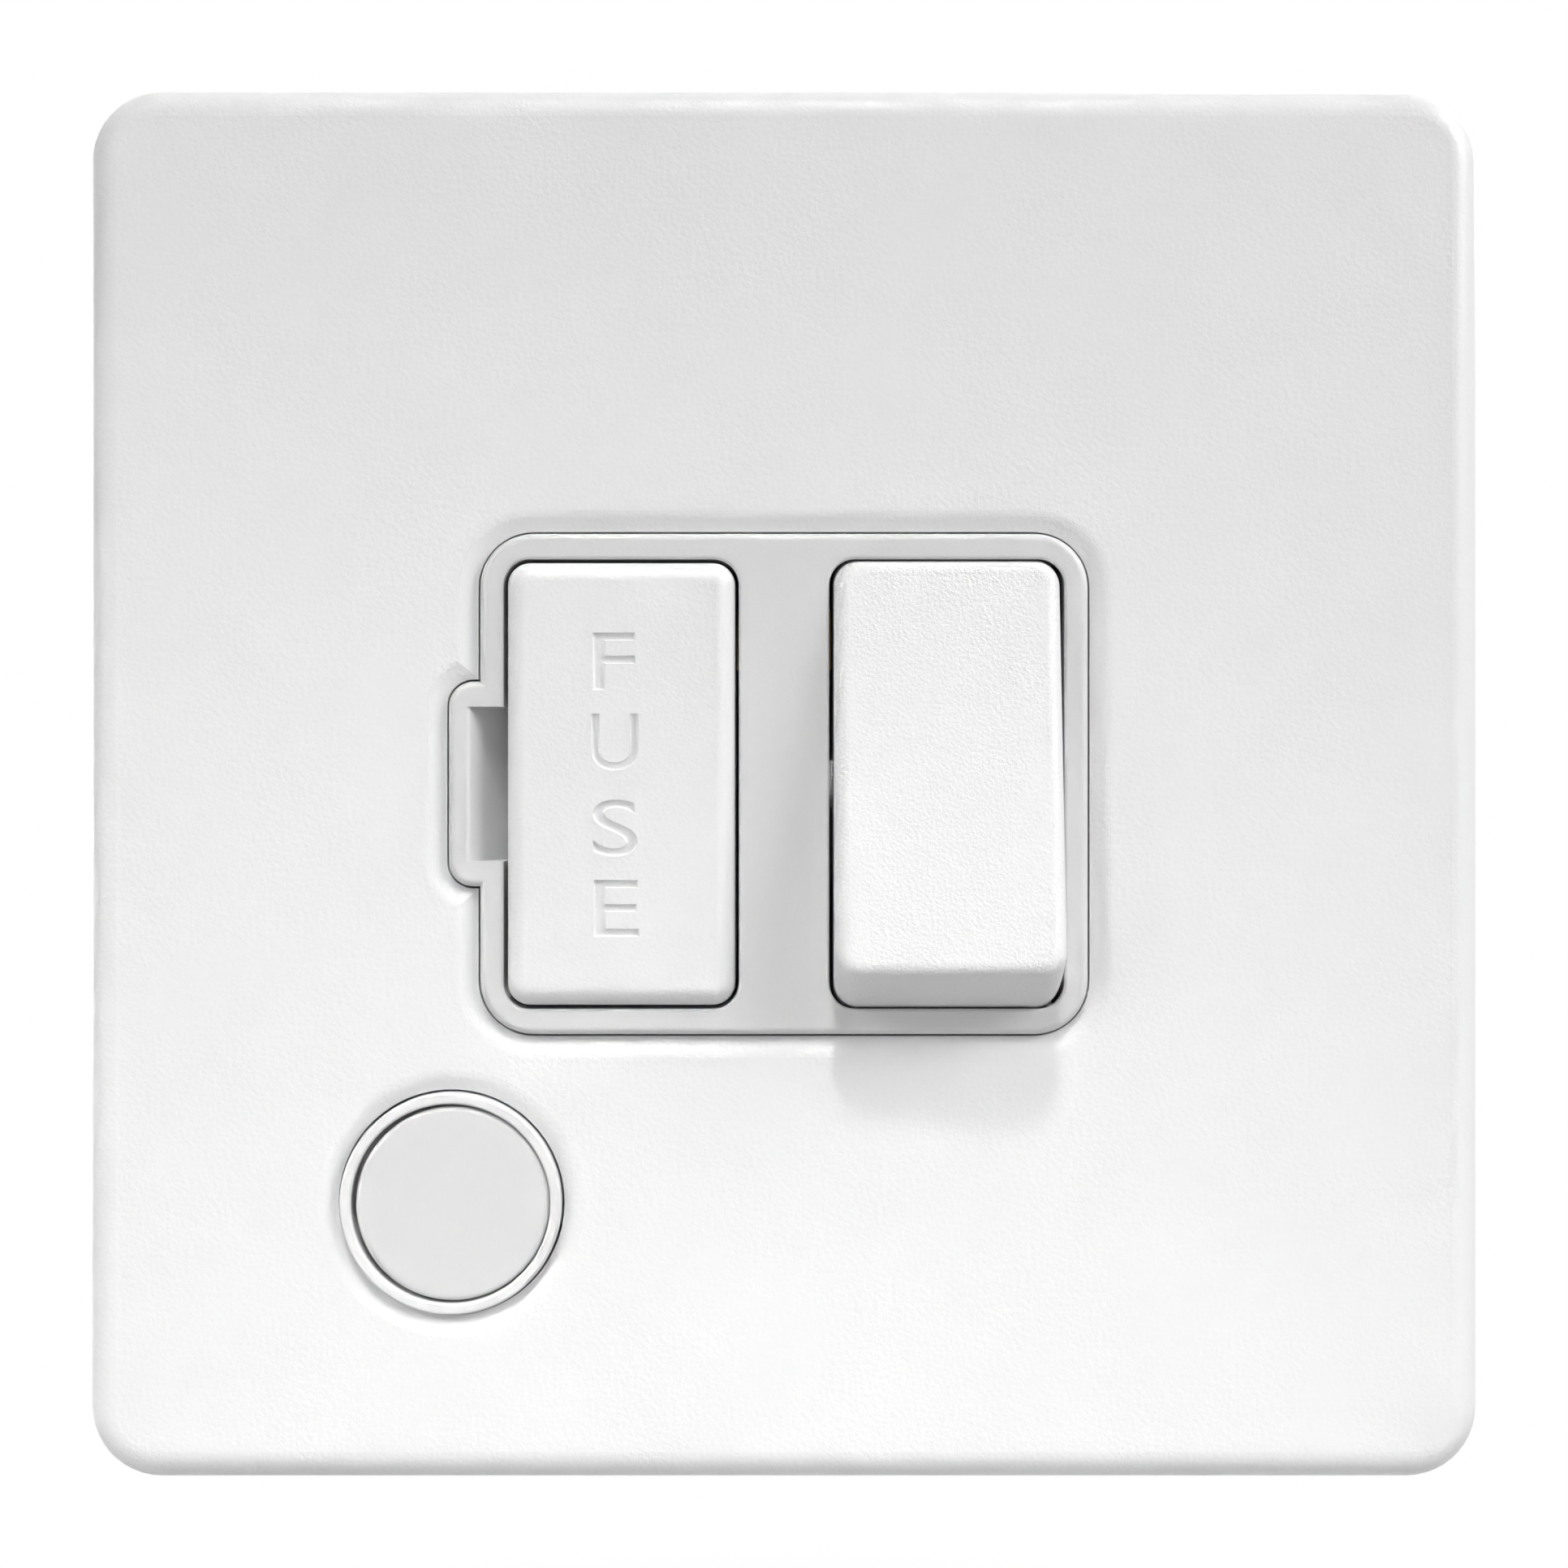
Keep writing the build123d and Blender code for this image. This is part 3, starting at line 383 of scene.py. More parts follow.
@dataclass(frozen=True)
class SparkMoulding:
    """Moulded plastic with the fine pitted texture of a spark-eroded tool."""

    name: str
    colour: Colour
    shade: Colour
    smoothest: float = 0.36
    gloss_spread: float = 0.08
    spark_scale: float = 4600.0
    spark_shade: float = 0.4
    spark_height: float = 0.02 * MM
    spark_strength: float = 0.4
    flow_scale: float = 60.0
    flow_shade: float = 0.1

    def make(self) -> bpy.types.Material:
        """Builds the material.

        Returns:
            The material.
        """
        recipe = Recipe(bpy.data.materials.new(self.name))
        place = recipe.place()
        spark = recipe.noise(place, self.spark_scale, detail=2.0)
        flow = recipe.noise(place, self.flow_scale, detail=2.0, distortion=0.6)
        shaded = spark * self.spark_shade + flow * self.flow_shade
        return recipe.finish(
            {
                "Base Color": recipe.mix(shaded, self.colour, self.shade),
                "Roughness": flow * self.gloss_spread + self.smoothest,
                "Normal": recipe.bump(spark, self.spark_strength, self.spark_height),
            }
        )


@dataclass(frozen=True)
class SheetMetal:
    """Plated sheet steel with faint crystals and a rolled grain."""

    name: str
    colour: Colour
    shade: Colour
    smoothest: float = 0.26
    crystal_scale: float = 640.0
    crystal_ends: Tuple[float, float] = (0.2, 0.8)
    crystal_shade: float = 0.35
    crystal_gloss: float = 0.1
    haze_scale: float = 70.0
    haze_shade: float = 0.5
    haze_gloss: float = 0.12
    rolled_stretch: Point = (60.0, 1.0, 1.0)
    rolled_scale: float = 90.0
    rolled_share: float = 0.6
    rolled_height: float = 0.01 * MM
    rolled_strength: float = 0.25

    def make(self) -> bpy.types.Material:
        """Builds the material.

        Returns:
            The material.
        """
        recipe = Recipe(bpy.data.materials.new(self.name))
        place = recipe.place()
        crystals = recipe.crystals(place, self.crystal_scale, self.crystal_ends)
        haze = recipe.noise(place, self.haze_scale, detail=3.0)
        rolled = recipe.noise(recipe.place(self.rolled_stretch), self.rolled_scale, detail=3.0)
        shaded = crystals * self.crystal_shade + haze * self.haze_shade
        height = rolled * self.rolled_share + haze * (1.0 - self.rolled_share)
        return recipe.finish(
            {
                "Base Color": recipe.mix(shaded, self.colour, self.shade),
                "Metallic": 1.0,
                "Roughness": crystals * self.crystal_gloss + haze * self.haze_gloss + self.smoothest,
                "Normal": recipe.bump(height, self.rolled_strength, self.rolled_height),
            }
        )


@dataclass(frozen=True)
class BareMetal:
    """Turned, rolled or drawn metal with a brushed grain and a little tarnish."""

    name: str
    colour: Colour
    tarnish: Colour
    smoothest: float = 0.22
    grain_stretch: Point = (1.0, 1.0, 40.0)
    grain_scale: float = 220.0
    grain_gloss: float = 0.14
    grain_height: float = 0.008 * MM
    grain_strength: float = 0.2
    tarnish_scale: float = 240.0
    tarnish_ends: Tuple[float, float] = (0.42, 0.75)
    tarnish_share: float = 0.5
    tarnish_gloss: float = 0.12

    def make(self) -> bpy.types.Material:
        """Builds the material.

        Returns:
            The material.
        """
        recipe = Recipe(bpy.data.materials.new(self.name))
        brushed = recipe.noise(recipe.place(self.grain_stretch), self.grain_scale, detail=4.0)
        stain = recipe.noise(recipe.place(), self.tarnish_scale, detail=4.0, distortion=0.8)
        aged = recipe.span(stain, *self.tarnish_ends)
        return recipe.finish(
            {
                "Base Color": recipe.mix(aged * self.tarnish_share, self.colour, self.tarnish),
                "Metallic": 1.0,
                "Roughness": brushed * self.grain_gloss + aged * self.tarnish_gloss + self.smoothest,
                "Normal": recipe.bump(brushed, self.grain_strength, self.grain_height),
            }
        )


@dataclass(frozen=True)
class SmoothMoulding:
    """Smooth engineering plastic or glazed ceramic with a faint mottle."""

    name: str
    colour: Colour
    shade: Colour
    smoothest: float = 0.27
    gloss_spread: float = 0.1
    mottle_scale: float = 500.0
    mottle_shade: float = 0.6
    fine_scale: float = 5200.0
    fine_share: float = 0.7
    fine_height: float = 0.012 * MM
    fine_strength: float = 0.25
    coat: float = 0.0
    coat_roughness: float = 0.12

    def make(self) -> bpy.types.Material:
        """Builds the material.

        Returns:
            The material.
        """
        recipe = Recipe(bpy.data.materials.new(self.name))
        place = recipe.place()
        mottle = recipe.noise(place, self.mottle_scale, detail=3.0)
        fine = recipe.noise(place, self.fine_scale, detail=2.0)
        height = fine * self.fine_share + mottle * (1.0 - self.fine_share)
        return recipe.finish(
            {
                "Base Color": recipe.mix(mottle * self.mottle_shade, self.colour, self.shade),
                "Roughness": mottle * self.gloss_spread + self.smoothest,
                "Coat Weight": self.coat,
                "Coat Roughness": self.coat_roughness,
                "Normal": recipe.bump(height, self.fine_strength, self.fine_height),
            }
        )


class FinishShelf:
    """Every finish of the unit, made once and handed out by name."""

    def __init__(self) -> None:
        """Makes the materials."""
        finishes = [
            PowderCoat("plate_coat"),
            SparkMoulding("insert_plastic", grey(0.655), grey(0.60)),
            SparkMoulding(
                "carrier_plastic",
                grey(0.78),
                grey(0.715),
                spark_height=0.035 * MM,
                spark_strength=0.7,
            ),
            SparkMoulding(
                "rocker_plastic",
                grey(0.765),
                grey(0.70),
                spark_scale=5000.0,
                spark_height=0.07 * MM,
                spark_strength=0.85,
            ),
            SparkMoulding(
                "outlet_plastic",
                grey(0.76),
                grey(0.70),
                smoothest=0.32,
                spark_height=0.01 * MM,
            ),
            SparkMoulding(
                "housing_plastic",
                (0.66, 0.66, 0.645, 1.0),
                (0.58, 0.58, 0.565, 1.0),
                smoothest=0.46,
                spark_scale=2600.0,
                spark_height=0.03 * MM,
            ),
            SheetMetal("frame_zinc", (0.52, 0.53, 0.55, 1.0), (0.36, 0.37, 0.39, 1.0)),
            BareMetal("brass_strip", (0.83, 0.61, 0.29, 1.0), (0.56, 0.36, 0.15, 1.0)),
            BareMetal(
                "contact_silver",
                (0.86, 0.85, 0.82, 1.0),
                (0.56, 0.53, 0.48, 1.0),
                smoothest=0.18,
                grain_stretch=(1.0, 1.0, 1.0),
            ),
            BareMetal(
                "screw_zinc",
                (0.70, 0.71, 0.73, 1.0),
                (0.52, 0.51, 0.50, 1.0),
                smoothest=0.19,
                grain_stretch=(1.0, 30.0, 1.0),
                tarnish_share=0.35,
            ),
            BareMetal(
                "spring_wire",
                (0.62, 0.62, 0.63, 1.0),
                (0.42, 0.42, 0.43, 1.0),
                smoothest=0.17,
            ),
            SmoothMoulding(
                "plunger_nylon",
                (0.72, 0.70, 0.64, 1.0),
                (0.62, 0.60, 0.54, 1.0),
                smoothest=0.35,
            ),
            SmoothMoulding(
                "fuse_ceramic",
                (0.78, 0.75, 0.68, 1.0),
                (0.68, 0.64, 0.56, 1.0),
                smoothest=0.37,
                coat=0.5,
            ),
            BareMetal(
                "fuse_nickel",
                (0.72, 0.70, 0.66, 1.0),
                (0.55, 0.52, 0.47, 1.0),
                smoothest=0.14,
                grain_stretch=(1.0, 1.0, 60.0),
                tarnish_share=0.3,
            ),
        ]
        self.materials = {finish.name: finish.make() for finish in finishes}

    def dress(self, piece: bpy.types.Object, name: str) -> bpy.types.Object:
        """Gives a piece one finish all over.

        Args:
            piece: New piece or CAD node.
            name: The finish.

        Returns:
            The piece.
        """
        if not piece.material_slots:
            piece.data.materials.append(self.materials[name])
        for slot in piece.material_slots:
            slot.material = self.materials[name]
        return piece

    def dress_node(self, node: str, name: str) -> bpy.types.Object:
        """Gives a CAD node a finish and returns it."""
        return self.dress(frame["nodes"][node], name)


@dataclass(frozen=True)
class Mark:
    """A letter cut into a face: its text, its place across and up the part, and its size."""

    text: str
    across: float
    up: float
    width: float
    height: float


class Bench:
    """Modelling moves on one mesh at a time, as by hand."""

    def clear(self) -> None:
        """Leaves edit mode and deselects everything."""
        if bpy.context.object and bpy.context.object.mode != "OBJECT":
            bpy.ops.object.mode_set(mode="OBJECT")
        bpy.ops.object.select_all(action="DESELECT")

    def hold(self, piece: bpy.types.Object) -> None:
        """Makes a piece the active one, selected alone.

        Args:
            piece: The piece.
        """
        self.clear()
        piece.select_set(True)
        bpy.context.view_layer.objects.active = piece

    def edit(self, piece: bpy.types.Object, action: str = "DESELECT") -> None:
        """Opens a piece's mesh.

        Args:
            piece: The piece.
            action: Whether all of the mesh is selected or none, as select_all says it.
        """
        self.hold(piece)
        bpy.ops.object.mode_set(mode="EDIT")
        bpy.ops.mesh.select_all(action=action)

    def close(self) -> None:
        """Leaves edit mode."""
        bpy.ops.object.mode_set(mode="OBJECT")

    def pick_faces(self, piece: bpy.types.Object, test: Callable[[bmesh.types.BMFace], bool]) -> None:
        """Selects the faces of an open mesh that pass a test.

        Args:
            piece: The piece in edit mode.
            test: Whether a face is wanted.
        """
        bpy.ops.mesh.select_mode(type="FACE")
        bpy.ops.mesh.select_all(action="DESELECT")
        mesh = bmesh.from_edit_mesh(piece.data)
        for face in mesh.faces:
            face.select = test(face)
        mesh.select_flush_mode()
        bmesh.update_edit_mesh(piece.data)

    def pick_edges(self, piece: bpy.types.Object, test: Callable[[bmesh.types.BMVert], bool]) -> None:
        """Selects the edges of an open mesh whose two ends pass a test.

        Args:
            piece: The piece in edit mode.
            test: Whether a vertex is wanted.
        """
        bpy.ops.mesh.select_mode(type="EDGE")
        bpy.ops.mesh.select_all(action="DESELECT")
        mesh = bmesh.from_edit_mesh(piece.data)
        for edge in mesh.edges:
            edge.select = all(test(vertex) for vertex in edge.verts)
        mesh.select_flush_mode()
        bmesh.update_edit_mesh(piece.data)

    def push(self, offset: Point) -> None:
        """Extrudes what is selected along an offset."""
        bpy.ops.mesh.extrude_region_move(TRANSFORM_OT_translate={"value": offset})

    def stretch(self, factors: Point) -> None:
        """Resizes what is selected about the origin."""
        bpy.ops.transform.resize(value=factors, center_override=(0.0, 0.0, 0.0))

    def bevel(self, width: float, segments: int) -> None:
        """Rounds the selected edges."""
        bpy.ops.mesh.bevel(offset=width, segments=segments, affect="EDGES", clamp_overlap=True)

    def merge(self, piece: bpy.types.Object, distance: float) -> None:
        """Merges a piece's vertices that lie within a distance of each other.

        Args:
            piece: The piece.
            distance: The distance, in the mesh's own units.
        """
        self.edit(piece, "SELECT")
        bpy.ops.mesh.remove_doubles(threshold=distance)
        self.close()

    def settle(self, piece: bpy.types.Object) -> bpy.types.Object:
        """Puts a piece's place into its mesh.

        Args:
            piece: The piece.

        Returns:
            The same piece, at the origin.
        """
        self.hold(piece)
        bpy.ops.object.transform_apply(location=True, rotation=True, scale=True)
        return piece

    def cut(self, piece: bpy.types.Object, cutter: bpy.types.Object) -> None:
        """Cuts a cutter out of a piece and deletes the cutter.

        Args:
            piece: The piece to cut.
            cutter: Closed mesh, whose shells may cross.
        """
        self.hold(piece)
        modifier = piece.modifiers.new("cut", "BOOLEAN")
        modifier.operation = "DIFFERENCE"
        modifier.solver = "EXACT"
        modifier.use_self = True
        modifier.object = cutter
        bpy.ops.object.modifier_apply(modifier=modifier.name)
        bpy.data.objects.remove(cutter)

    def soften(self, piece: bpy.types.Object, degrees: float = 32.0) -> None:
        """Shades a piece smooth up to an angle, with its flats kept flat.

        Args:
            piece: The finished mesh.
            degrees: Angle from which an edge stays sharp.
        """
        self.hold(piece)
        bpy.ops.object.shade_smooth_by_angle(angle=math.radians(degrees))
        modifier = piece.modifiers.new("flats", "WEIGHTED_NORMAL")
        modifier.keep_sharp = True
        bpy.ops.object.modifier_apply(modifier=modifier.name)

    def copy_node(self, node: str, name: str) -> bpy.types.Object:
        """Copies a CAD node as one merged mesh of its own.

        Args:
            node: The CAD node.
            name: Name of the copy.

        Returns:
            The copy, free of its body.
        """
        self.hold(frame["nodes"][node])
        bpy.ops.object.duplicate(linked=False)
        piece = bpy.context.object
        piece.name = name
        for key in list(piece.keys()):
            del piece[key]
        bpy.ops.object.parent_clear(type="CLEAR_KEEP_TRANSFORM")
        if piece.data.has_custom_normals:
            bpy.ops.mesh.customdata_custom_splitnormals_clear()
        self.merge(piece, NODE_MERGE)
        return piece

    def letter(self, mark: Mark, depth: float, round_off: float = 0.03) -> bpy.types.Object:
        """Models one letter as a solid cutter with rounded rims, lying flat and centred.

        Args:
            mark: The letter and its size.
            depth: Half of the solid's thickness.
            round_off: Radius of the rims, as a share of the letter's size.

        Returns:
            The letter's mesh.
        """
        self.clear()
        bpy.ops.object.text_add()
        piece = bpy.context.object
        piece.data.body = mark.text
        piece.data.extrude = round_off / 2
        piece.data.bevel_depth = round_off
        piece.data.bevel_resolution = 3
        # The strokes are thinned by most of what the rims add to them
        piece.data.offset = -0.8 * round_off
        piece.data.resolution_u = 8
        bpy.ops.object.convert(target="MESH")
        piece = bpy.context.object
        self.merge(piece, LETTER_MERGE)
        low = Vector([min(v.co[i] for v in piece.data.vertices) for i in range(3)])
        high = Vector([max(v.co[i] for v in piece.data.vertices) for i in range(3)])
        span = high - low
        self.edit(piece, "SELECT")
        bpy.ops.mesh.normals_make_consistent(inside=False)
        bpy.ops.transform.translate(value=-(low + high) / 2)
        self.stretch((mark.width / span.x, mark.height / span.y, 2 * depth / span.z))
        self.close()
        return piece

    def engrave(
        self,
        piece: bpy.types.Object,
        marks: Sequence[Mark],
        face: float,
        facing: Facing,
        depth: float,
    ) -> None:
        """Cuts letters into an upright face and shades the piece.

        Args:
            piece: The piece to cut.
            marks: The letters.
            face: The face's place along Y.
            facing: Side that the face looks to.
            depth: Depth of the letters.
        """
        for mark in marks:
            letter = self.letter(mark, depth)
            letter.rotation_euler = (math.pi / 2, 0.0, facing.value)
            letter.location = (mark.across, face, mark.up)
            self.settle(letter)
            self.cut(piece, letter)
        self.soften(piece)

    def join(self, pieces: Sequence[bpy.types.Object]) -> bpy.types.Object:
        """Joins pieces into the first one.

        Args:
            pieces: The pieces.

        Returns:
            The joined piece.
        """
        self.hold(pieces[0])
        for piece in pieces[1:]:
            piece.select_set(True)
        bpy.ops.object.join()
        return bpy.context.object


def keep(piece: bpy.types.Object, body: Body, node: str) -> bpy.types.Object:
    """Ties a finished piece to its body and the CAD node it stands for.

    Args:
        piece: The finished piece.
        body: CAD body that it moves with.
        node: CAD node that it replaces.

    Returns:
        The piece.
    """
    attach(piece, body.value)
    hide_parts(node)
    return piece


@dataclass
class PlateAndFrame:
    """Pressed front plate and the steel frame that it clips to."""

    shelf: FinishShelf

    def build(self) -> List[bpy.types.Object]:
        """Dresses the plate, the frame and the earth strap that joins them.

        Returns:
            The pieces.
        """
        return [
            self.shelf.dress_node("front_plate", "plate_coat"),
            self.shelf.dress_node("mounting_frame", "frame_zinc"),
            self.shelf.dress_node("earth_strap", "brass_strip"),
        ]


@dataclass
class FuseDrawer:
    """Pull-out fuse carrier with its engraved word, and the cartridge fuse in it."""

    bench: Bench
    shelf: FinishShelf
    face: float = -6.0 * MM
    groove: float = 0.2 * MM
    letters: Tuple[Mark, ...] = (
        Mark("F", -10.39 * MM, 7.50 * MM, 2.60 * MM, 3.52 * MM),
        Mark("U", -10.34 * MM, 2.56 * MM, 2.90 * MM, 3.48 * MM),
        Mark("S", -10.32 * MM, -2.69 * MM, 2.75 * MM, 3.48 * MM),
        Mark("E", -10.24 * MM, -7.60 * MM, 2.78 * MM, 3.48 * MM),
    )

    def build(self) -> List[bpy.types.Object]:
        """Engraves the carrier and dresses the fuse.

        Returns:
            The pieces.
        """
        carrier = self.bench.copy_node("fuse_carrier", "engraved_carrier")
        self.bench.engrave(carrier, self.letters, self.face, Facing.FRONT, self.groove)
        self.shelf.dress(carrier, "carrier_plastic")
        return [
            keep(carrier, Body.CARRIER, "fuse_carrier"),
            self.shelf.dress_node("fuse_barrel", "fuse_ceramic"),
            self.shelf.dress_node("fuse_end_caps", "fuse_nickel"),
        ]


@dataclass
class Switch:
    """Moulded insert, rocker and the two poles that it works."""

    bench: Bench
    shelf: FinishShelf
    poles: Tuple[str, str] = ("line", "neutral")
    plunger_way: Point = (0.0, -0.984808, 0.173648)
    coil_keep: float = 0.7

    def coil(self, pole: str) -> bpy.types.Object:
        """Makes a pole's spring as a merged piece with a mesh of its own, riding on the rocker.

        Args:
            pole: The pole's name.

        Returns:
            The spring, held at the blind end of the rocker's stem.
        """
        coil = self.bench.settle(self.bench.copy_node(f"{pole}_spring", f"{pole}_coil"))
        self.bench.soften(coil)
        self.shelf.dress(coil, "spring_wire")
        keep(coil, Body.ROCKER, f"{pole}_spring")
        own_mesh(coil)
        return coil

    def build(self) -> List[bpy.types.Object]:
        """Dresses the insert and the rocker, and makes and dresses each pole's pieces.

        Returns:
            The pieces.
        """
        pieces = [
            self.shelf.dress_node("front_insert", "insert_plastic"),
            self.shelf.dress_node("rocker", "rocker_plastic"),
            self.shelf.dress_node("fixed_contact_tips", "contact_silver"),
        ]
        for pole in self.poles:
            pieces.append(self.shelf.dress_node(f"{pole}_plunger", "plunger_nylon"))
            pieces.append(self.coil(pole))
            pieces.append(self.shelf.dress_node(f"{pole}_contact_lever", "brass_strip"))
            pieces.append(self.shelf.dress_node(f"{pole}_lever_tip", "contact_silver"))
            pieces.append(self.shelf.dress_node(f"{pole}_cradle", "brass_strip"))
            pieces.append(self.shelf.dress_node(f"{pole}_fixed_contact", "brass_strip"))
        return pieces


@dataclass(frozen=True)
class ScrewSize:
    """Sizes of a headed screw, and the recess in its head."""

    head_radius: float
    head_depth: float
    shank_radius: float
    drive: Drive
    drive_width: float = 0.8 * MM
    drive_depth: float = 0.9 * MM


@dataclass
class ScrewSet:
    """Like screws that stand for one CAD node: one is modelled along Z and copied to each place."""

    bench: Bench
    shelf: FinishShelf
    name: str
    node: str
    size: ScrewSize
    sides: int = 48
    tip_round: float = 0.35
    crown_round: float = 0.42
    rim_round: float = 0.08
    sharp_angle: float = 28.0
    turn_step: float = 0.7
    seat: float = field(init=False)
    shank_length: float = field(init=False)

    def __post_init__(self) -> None:
        """Takes the heads' seat along Y and the shanks' length from the CAD node."""
        low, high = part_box(self.node)
        self.seat = high.y - self.size.head_depth
        self.shank_length = self.seat - low.y

    def blank(self) -> bpy.types.Object:
        """Models the shank and the rounded head.

        Returns:
            The screw without its recess, the head's underside at the origin.
        """
        size = self.size
        self.bench.clear()
        bpy.ops.mesh.primitive_cylinder_add(
            vertices=self.sides,
            radius=size.shank_radius,
            depth=self.shank_length,
            location=(0.0, 0.0, -self.shank_length / 2),
        )
        piece = bpy.context.object
        piece.name = self.name
        self.bench.settle(piece)
        self.bench.edit(piece)
        self.bench.pick_edges(piece, lambda v: v.co.z < -self.shank_length * AT_END)
        self.bench.bevel(size.shank_radius * self.tip_round, 2)
        self.bench.pick_faces(piece, lambda f: f.normal.z > LOOKS_ALONG)
        self.bench.push((0.0, 0.0, 0.0))
        widen = size.head_radius / size.shank_radius
        self.bench.stretch((widen, widen, 1.0))
        self.bench.push((0.0, 0.0, size.head_depth))
        self.bench.pick_edges(piece, lambda v: v.co.z > size.head_depth * AT_END)
        self.bench.bevel(size.head_depth * self.crown_round, 6)
        self.bench.pick_edges(
            piece,
            lambda v: abs(v.co.z) < ON_PLANE and v.co.xy.length > size.head_radius * AT_END,
        )
        self.bench.bevel(size.head_depth * self.rim_round, 2)
        self.bench.close()
        return piece

    def blade(self, turn: float) -> bpy.types.Object:
        """Models one blade of the driver's tip.

        Args:
            turn: Angle about the screw's axis, in degrees.

        Returns:
            The blade, standing in the head.
        """
        size = self.size
        recess = size.drive.value
        self.bench.clear()
        bpy.ops.mesh.primitive_cube_add(size=1.0)
        blade = bpy.context.object
        blade.scale = (size.head_radius * recess.reach, size.drive_width, 2 * size.drive_depth)
        blade.location = (0.0, 0.0, size.head_depth)
        self.bench.settle(blade)
        self.bench.edit(blade)
        self.bench.pick_faces(blade, lambda f: f.normal.z < -LOOKS_ALONG)
        self.bench.stretch((recess.taper, recess.taper, 1.0))
        self.bench.close()
        blade.rotation_euler = (0.0, 0.0, math.radians(turn))
        return self.bench.settle(blade)

    def model(self) -> bpy.types.Object:
        """Models the whole screw with its recess.

        Returns:
            The screw, the head's underside at the origin.
        """
        piece = self.blank()
        for turn in self.size.drive.value.turns:
            self.bench.cut(piece, self.blade(turn))
        self.bench.soften(piece, self.sharp_angle)
        return piece

    def build(self, spots: Sequence[Tuple[float, float]]) -> bpy.types.Object:
        """Copies the screw to its spots, heads to the back, and joins and dresses the copies.

        Args:
            spots: Place of each screw across and up the part.

        Returns:
            One mesh with every screw in place.
        """
        first = self.model()
        copies = [first]
        for _ in spots[1:]:
            self.bench.hold(first)
            bpy.ops.object.duplicate(linked=False)
            copies.append(bpy.context.object)
        for number, (copy, (across, up)) in enumerate(zip(copies, spots)):
            copy.rotation_euler = (-math.pi / 2, number * self.turn_step, 0.0)
            copy.location = (across, self.seat, up)
            self.bench.settle(copy)
        screws = self.shelf.dress(self.bench.join(copies), "screw_zinc")
        return keep(screws, Body.BASE, self.node)


@dataclass
class RearHousing:
    """Moulded tub behind the insert, with its screws and terminal marks."""

    bench: Bench
    shelf: FinishShelf
    screw: ScrewSize = ScrewSize(2.2 * MM, 1.6 * MM, 1.0 * MM, Drive.CROSS)
    boss_across: float = 22.4 * MM
    boss_up: float = 11.0 * MM
    mark_depth: float = 0.25 * MM
    marks: Tuple[Mark, ...] = (
        Mark("L", -14.8 * MM, 15.3 * MM, 1.7 * MM, 2.3 * MM),
        Mark("N", 13.35 * MM, 15.3 * MM, 1.7 * MM, 2.3 * MM),
        Mark("L", 5.7 * MM, -15.3 * MM, 1.7 * MM, 2.3 * MM),
        Mark("N", 14.6 * MM, -15.3 * MM, 1.7 * MM, 2.3 * MM),
    )

    def build(self) -> List[bpy.types.Object]:
        """Engraves the terminal letters and models the housing's screws.

        Returns:
            The pieces.
        """
        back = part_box("rear_housing")[1].y
        housing = self.bench.copy_node("rear_housing", "marked_housing")
        self.bench.engrave(housing, self.marks, back, Facing.BACK, self.mark_depth)
        self.shelf.dress(housing, "housing_plastic")
        screws = ScrewSet(self.bench, self.shelf, "housing_screw", "housing_screws", self.screw)
        spots = [
            (across, up)
            for across in (-self.boss_across, self.boss_across)
            for up in (-self.boss_up, self.boss_up)
        ]
        return [
            keep(housing, Body.BASE, "rear_housing"),
            screws.build(spots),
        ]


@dataclass
class Terminals:
    """Brass terminal blocks, their screws, and the strips and clips between them."""

    bench: Bench
    shelf: FinishShelf
    screw: ScrewSize = ScrewSize(2.9 * MM, 1.8 * MM, 1.7 * MM, Drive.SLOT, drive_depth=0.7 * MM)
    blocks: Tuple[str, ...] = ("load_line", "earth", "load_neutral", "supply_line", "supply_neutral")
    strips: Tuple[str, ...] = ("load_line_link", "supply_fuse_clip", "load_fuse_clip")

    def build(self) -> List[bpy.types.Object]:
        """Dresses the brass and models the terminal screws.

        Returns:
            The pieces.
        """
        brass = [f"{block}_terminal" for block in self.blocks] + list(self.strips)
        pieces = [self.shelf.dress_node(node, "brass_strip") for node in brass]
        spots = []
        for block in self.blocks:
            low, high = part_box(f"{block}_terminal")
            middle = (low + high) / 2
            spots.append((middle.x, middle.z))
        screws = ScrewSet(self.bench, self.shelf, "terminal_screw", "terminal_screws", self.screw)
        return pieces + [screws.build(spots)]


@dataclass
class FlexOutlet:
    """Ring and blank of the flex outlet, and the cord clamp behind it."""

    bench: Bench
    shelf: FinishShelf
    screw: ScrewSize = ScrewSize(2.4 * MM, 1.7 * MM, 1.4 * MM, Drive.CROSS)

    def build(self) -> List[bpy.types.Object]:
        """Dresses the outlet and models the clamp's screws.

        Returns:
            The pieces.
        """
        low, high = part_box("cord_clamp_screws")
        across = (low.x + high.x) / 2
        spots = [(across, low.z + self.screw.head_radius), (across, high.z - self.screw.head_radius)]
        screws = ScrewSet(self.bench, self.shelf, "clamp_screw", "cord_clamp_screws", self.screw)
        return [
            self.shelf.dress_node("flex_outlet_bush", "outlet_plastic"),
            self.shelf.dress_node("flex_outlet_blank", "insert_plastic"),
            self.shelf.dress_node("cord_clamp", "housing_plastic"),
            screws.build(spots),
        ]


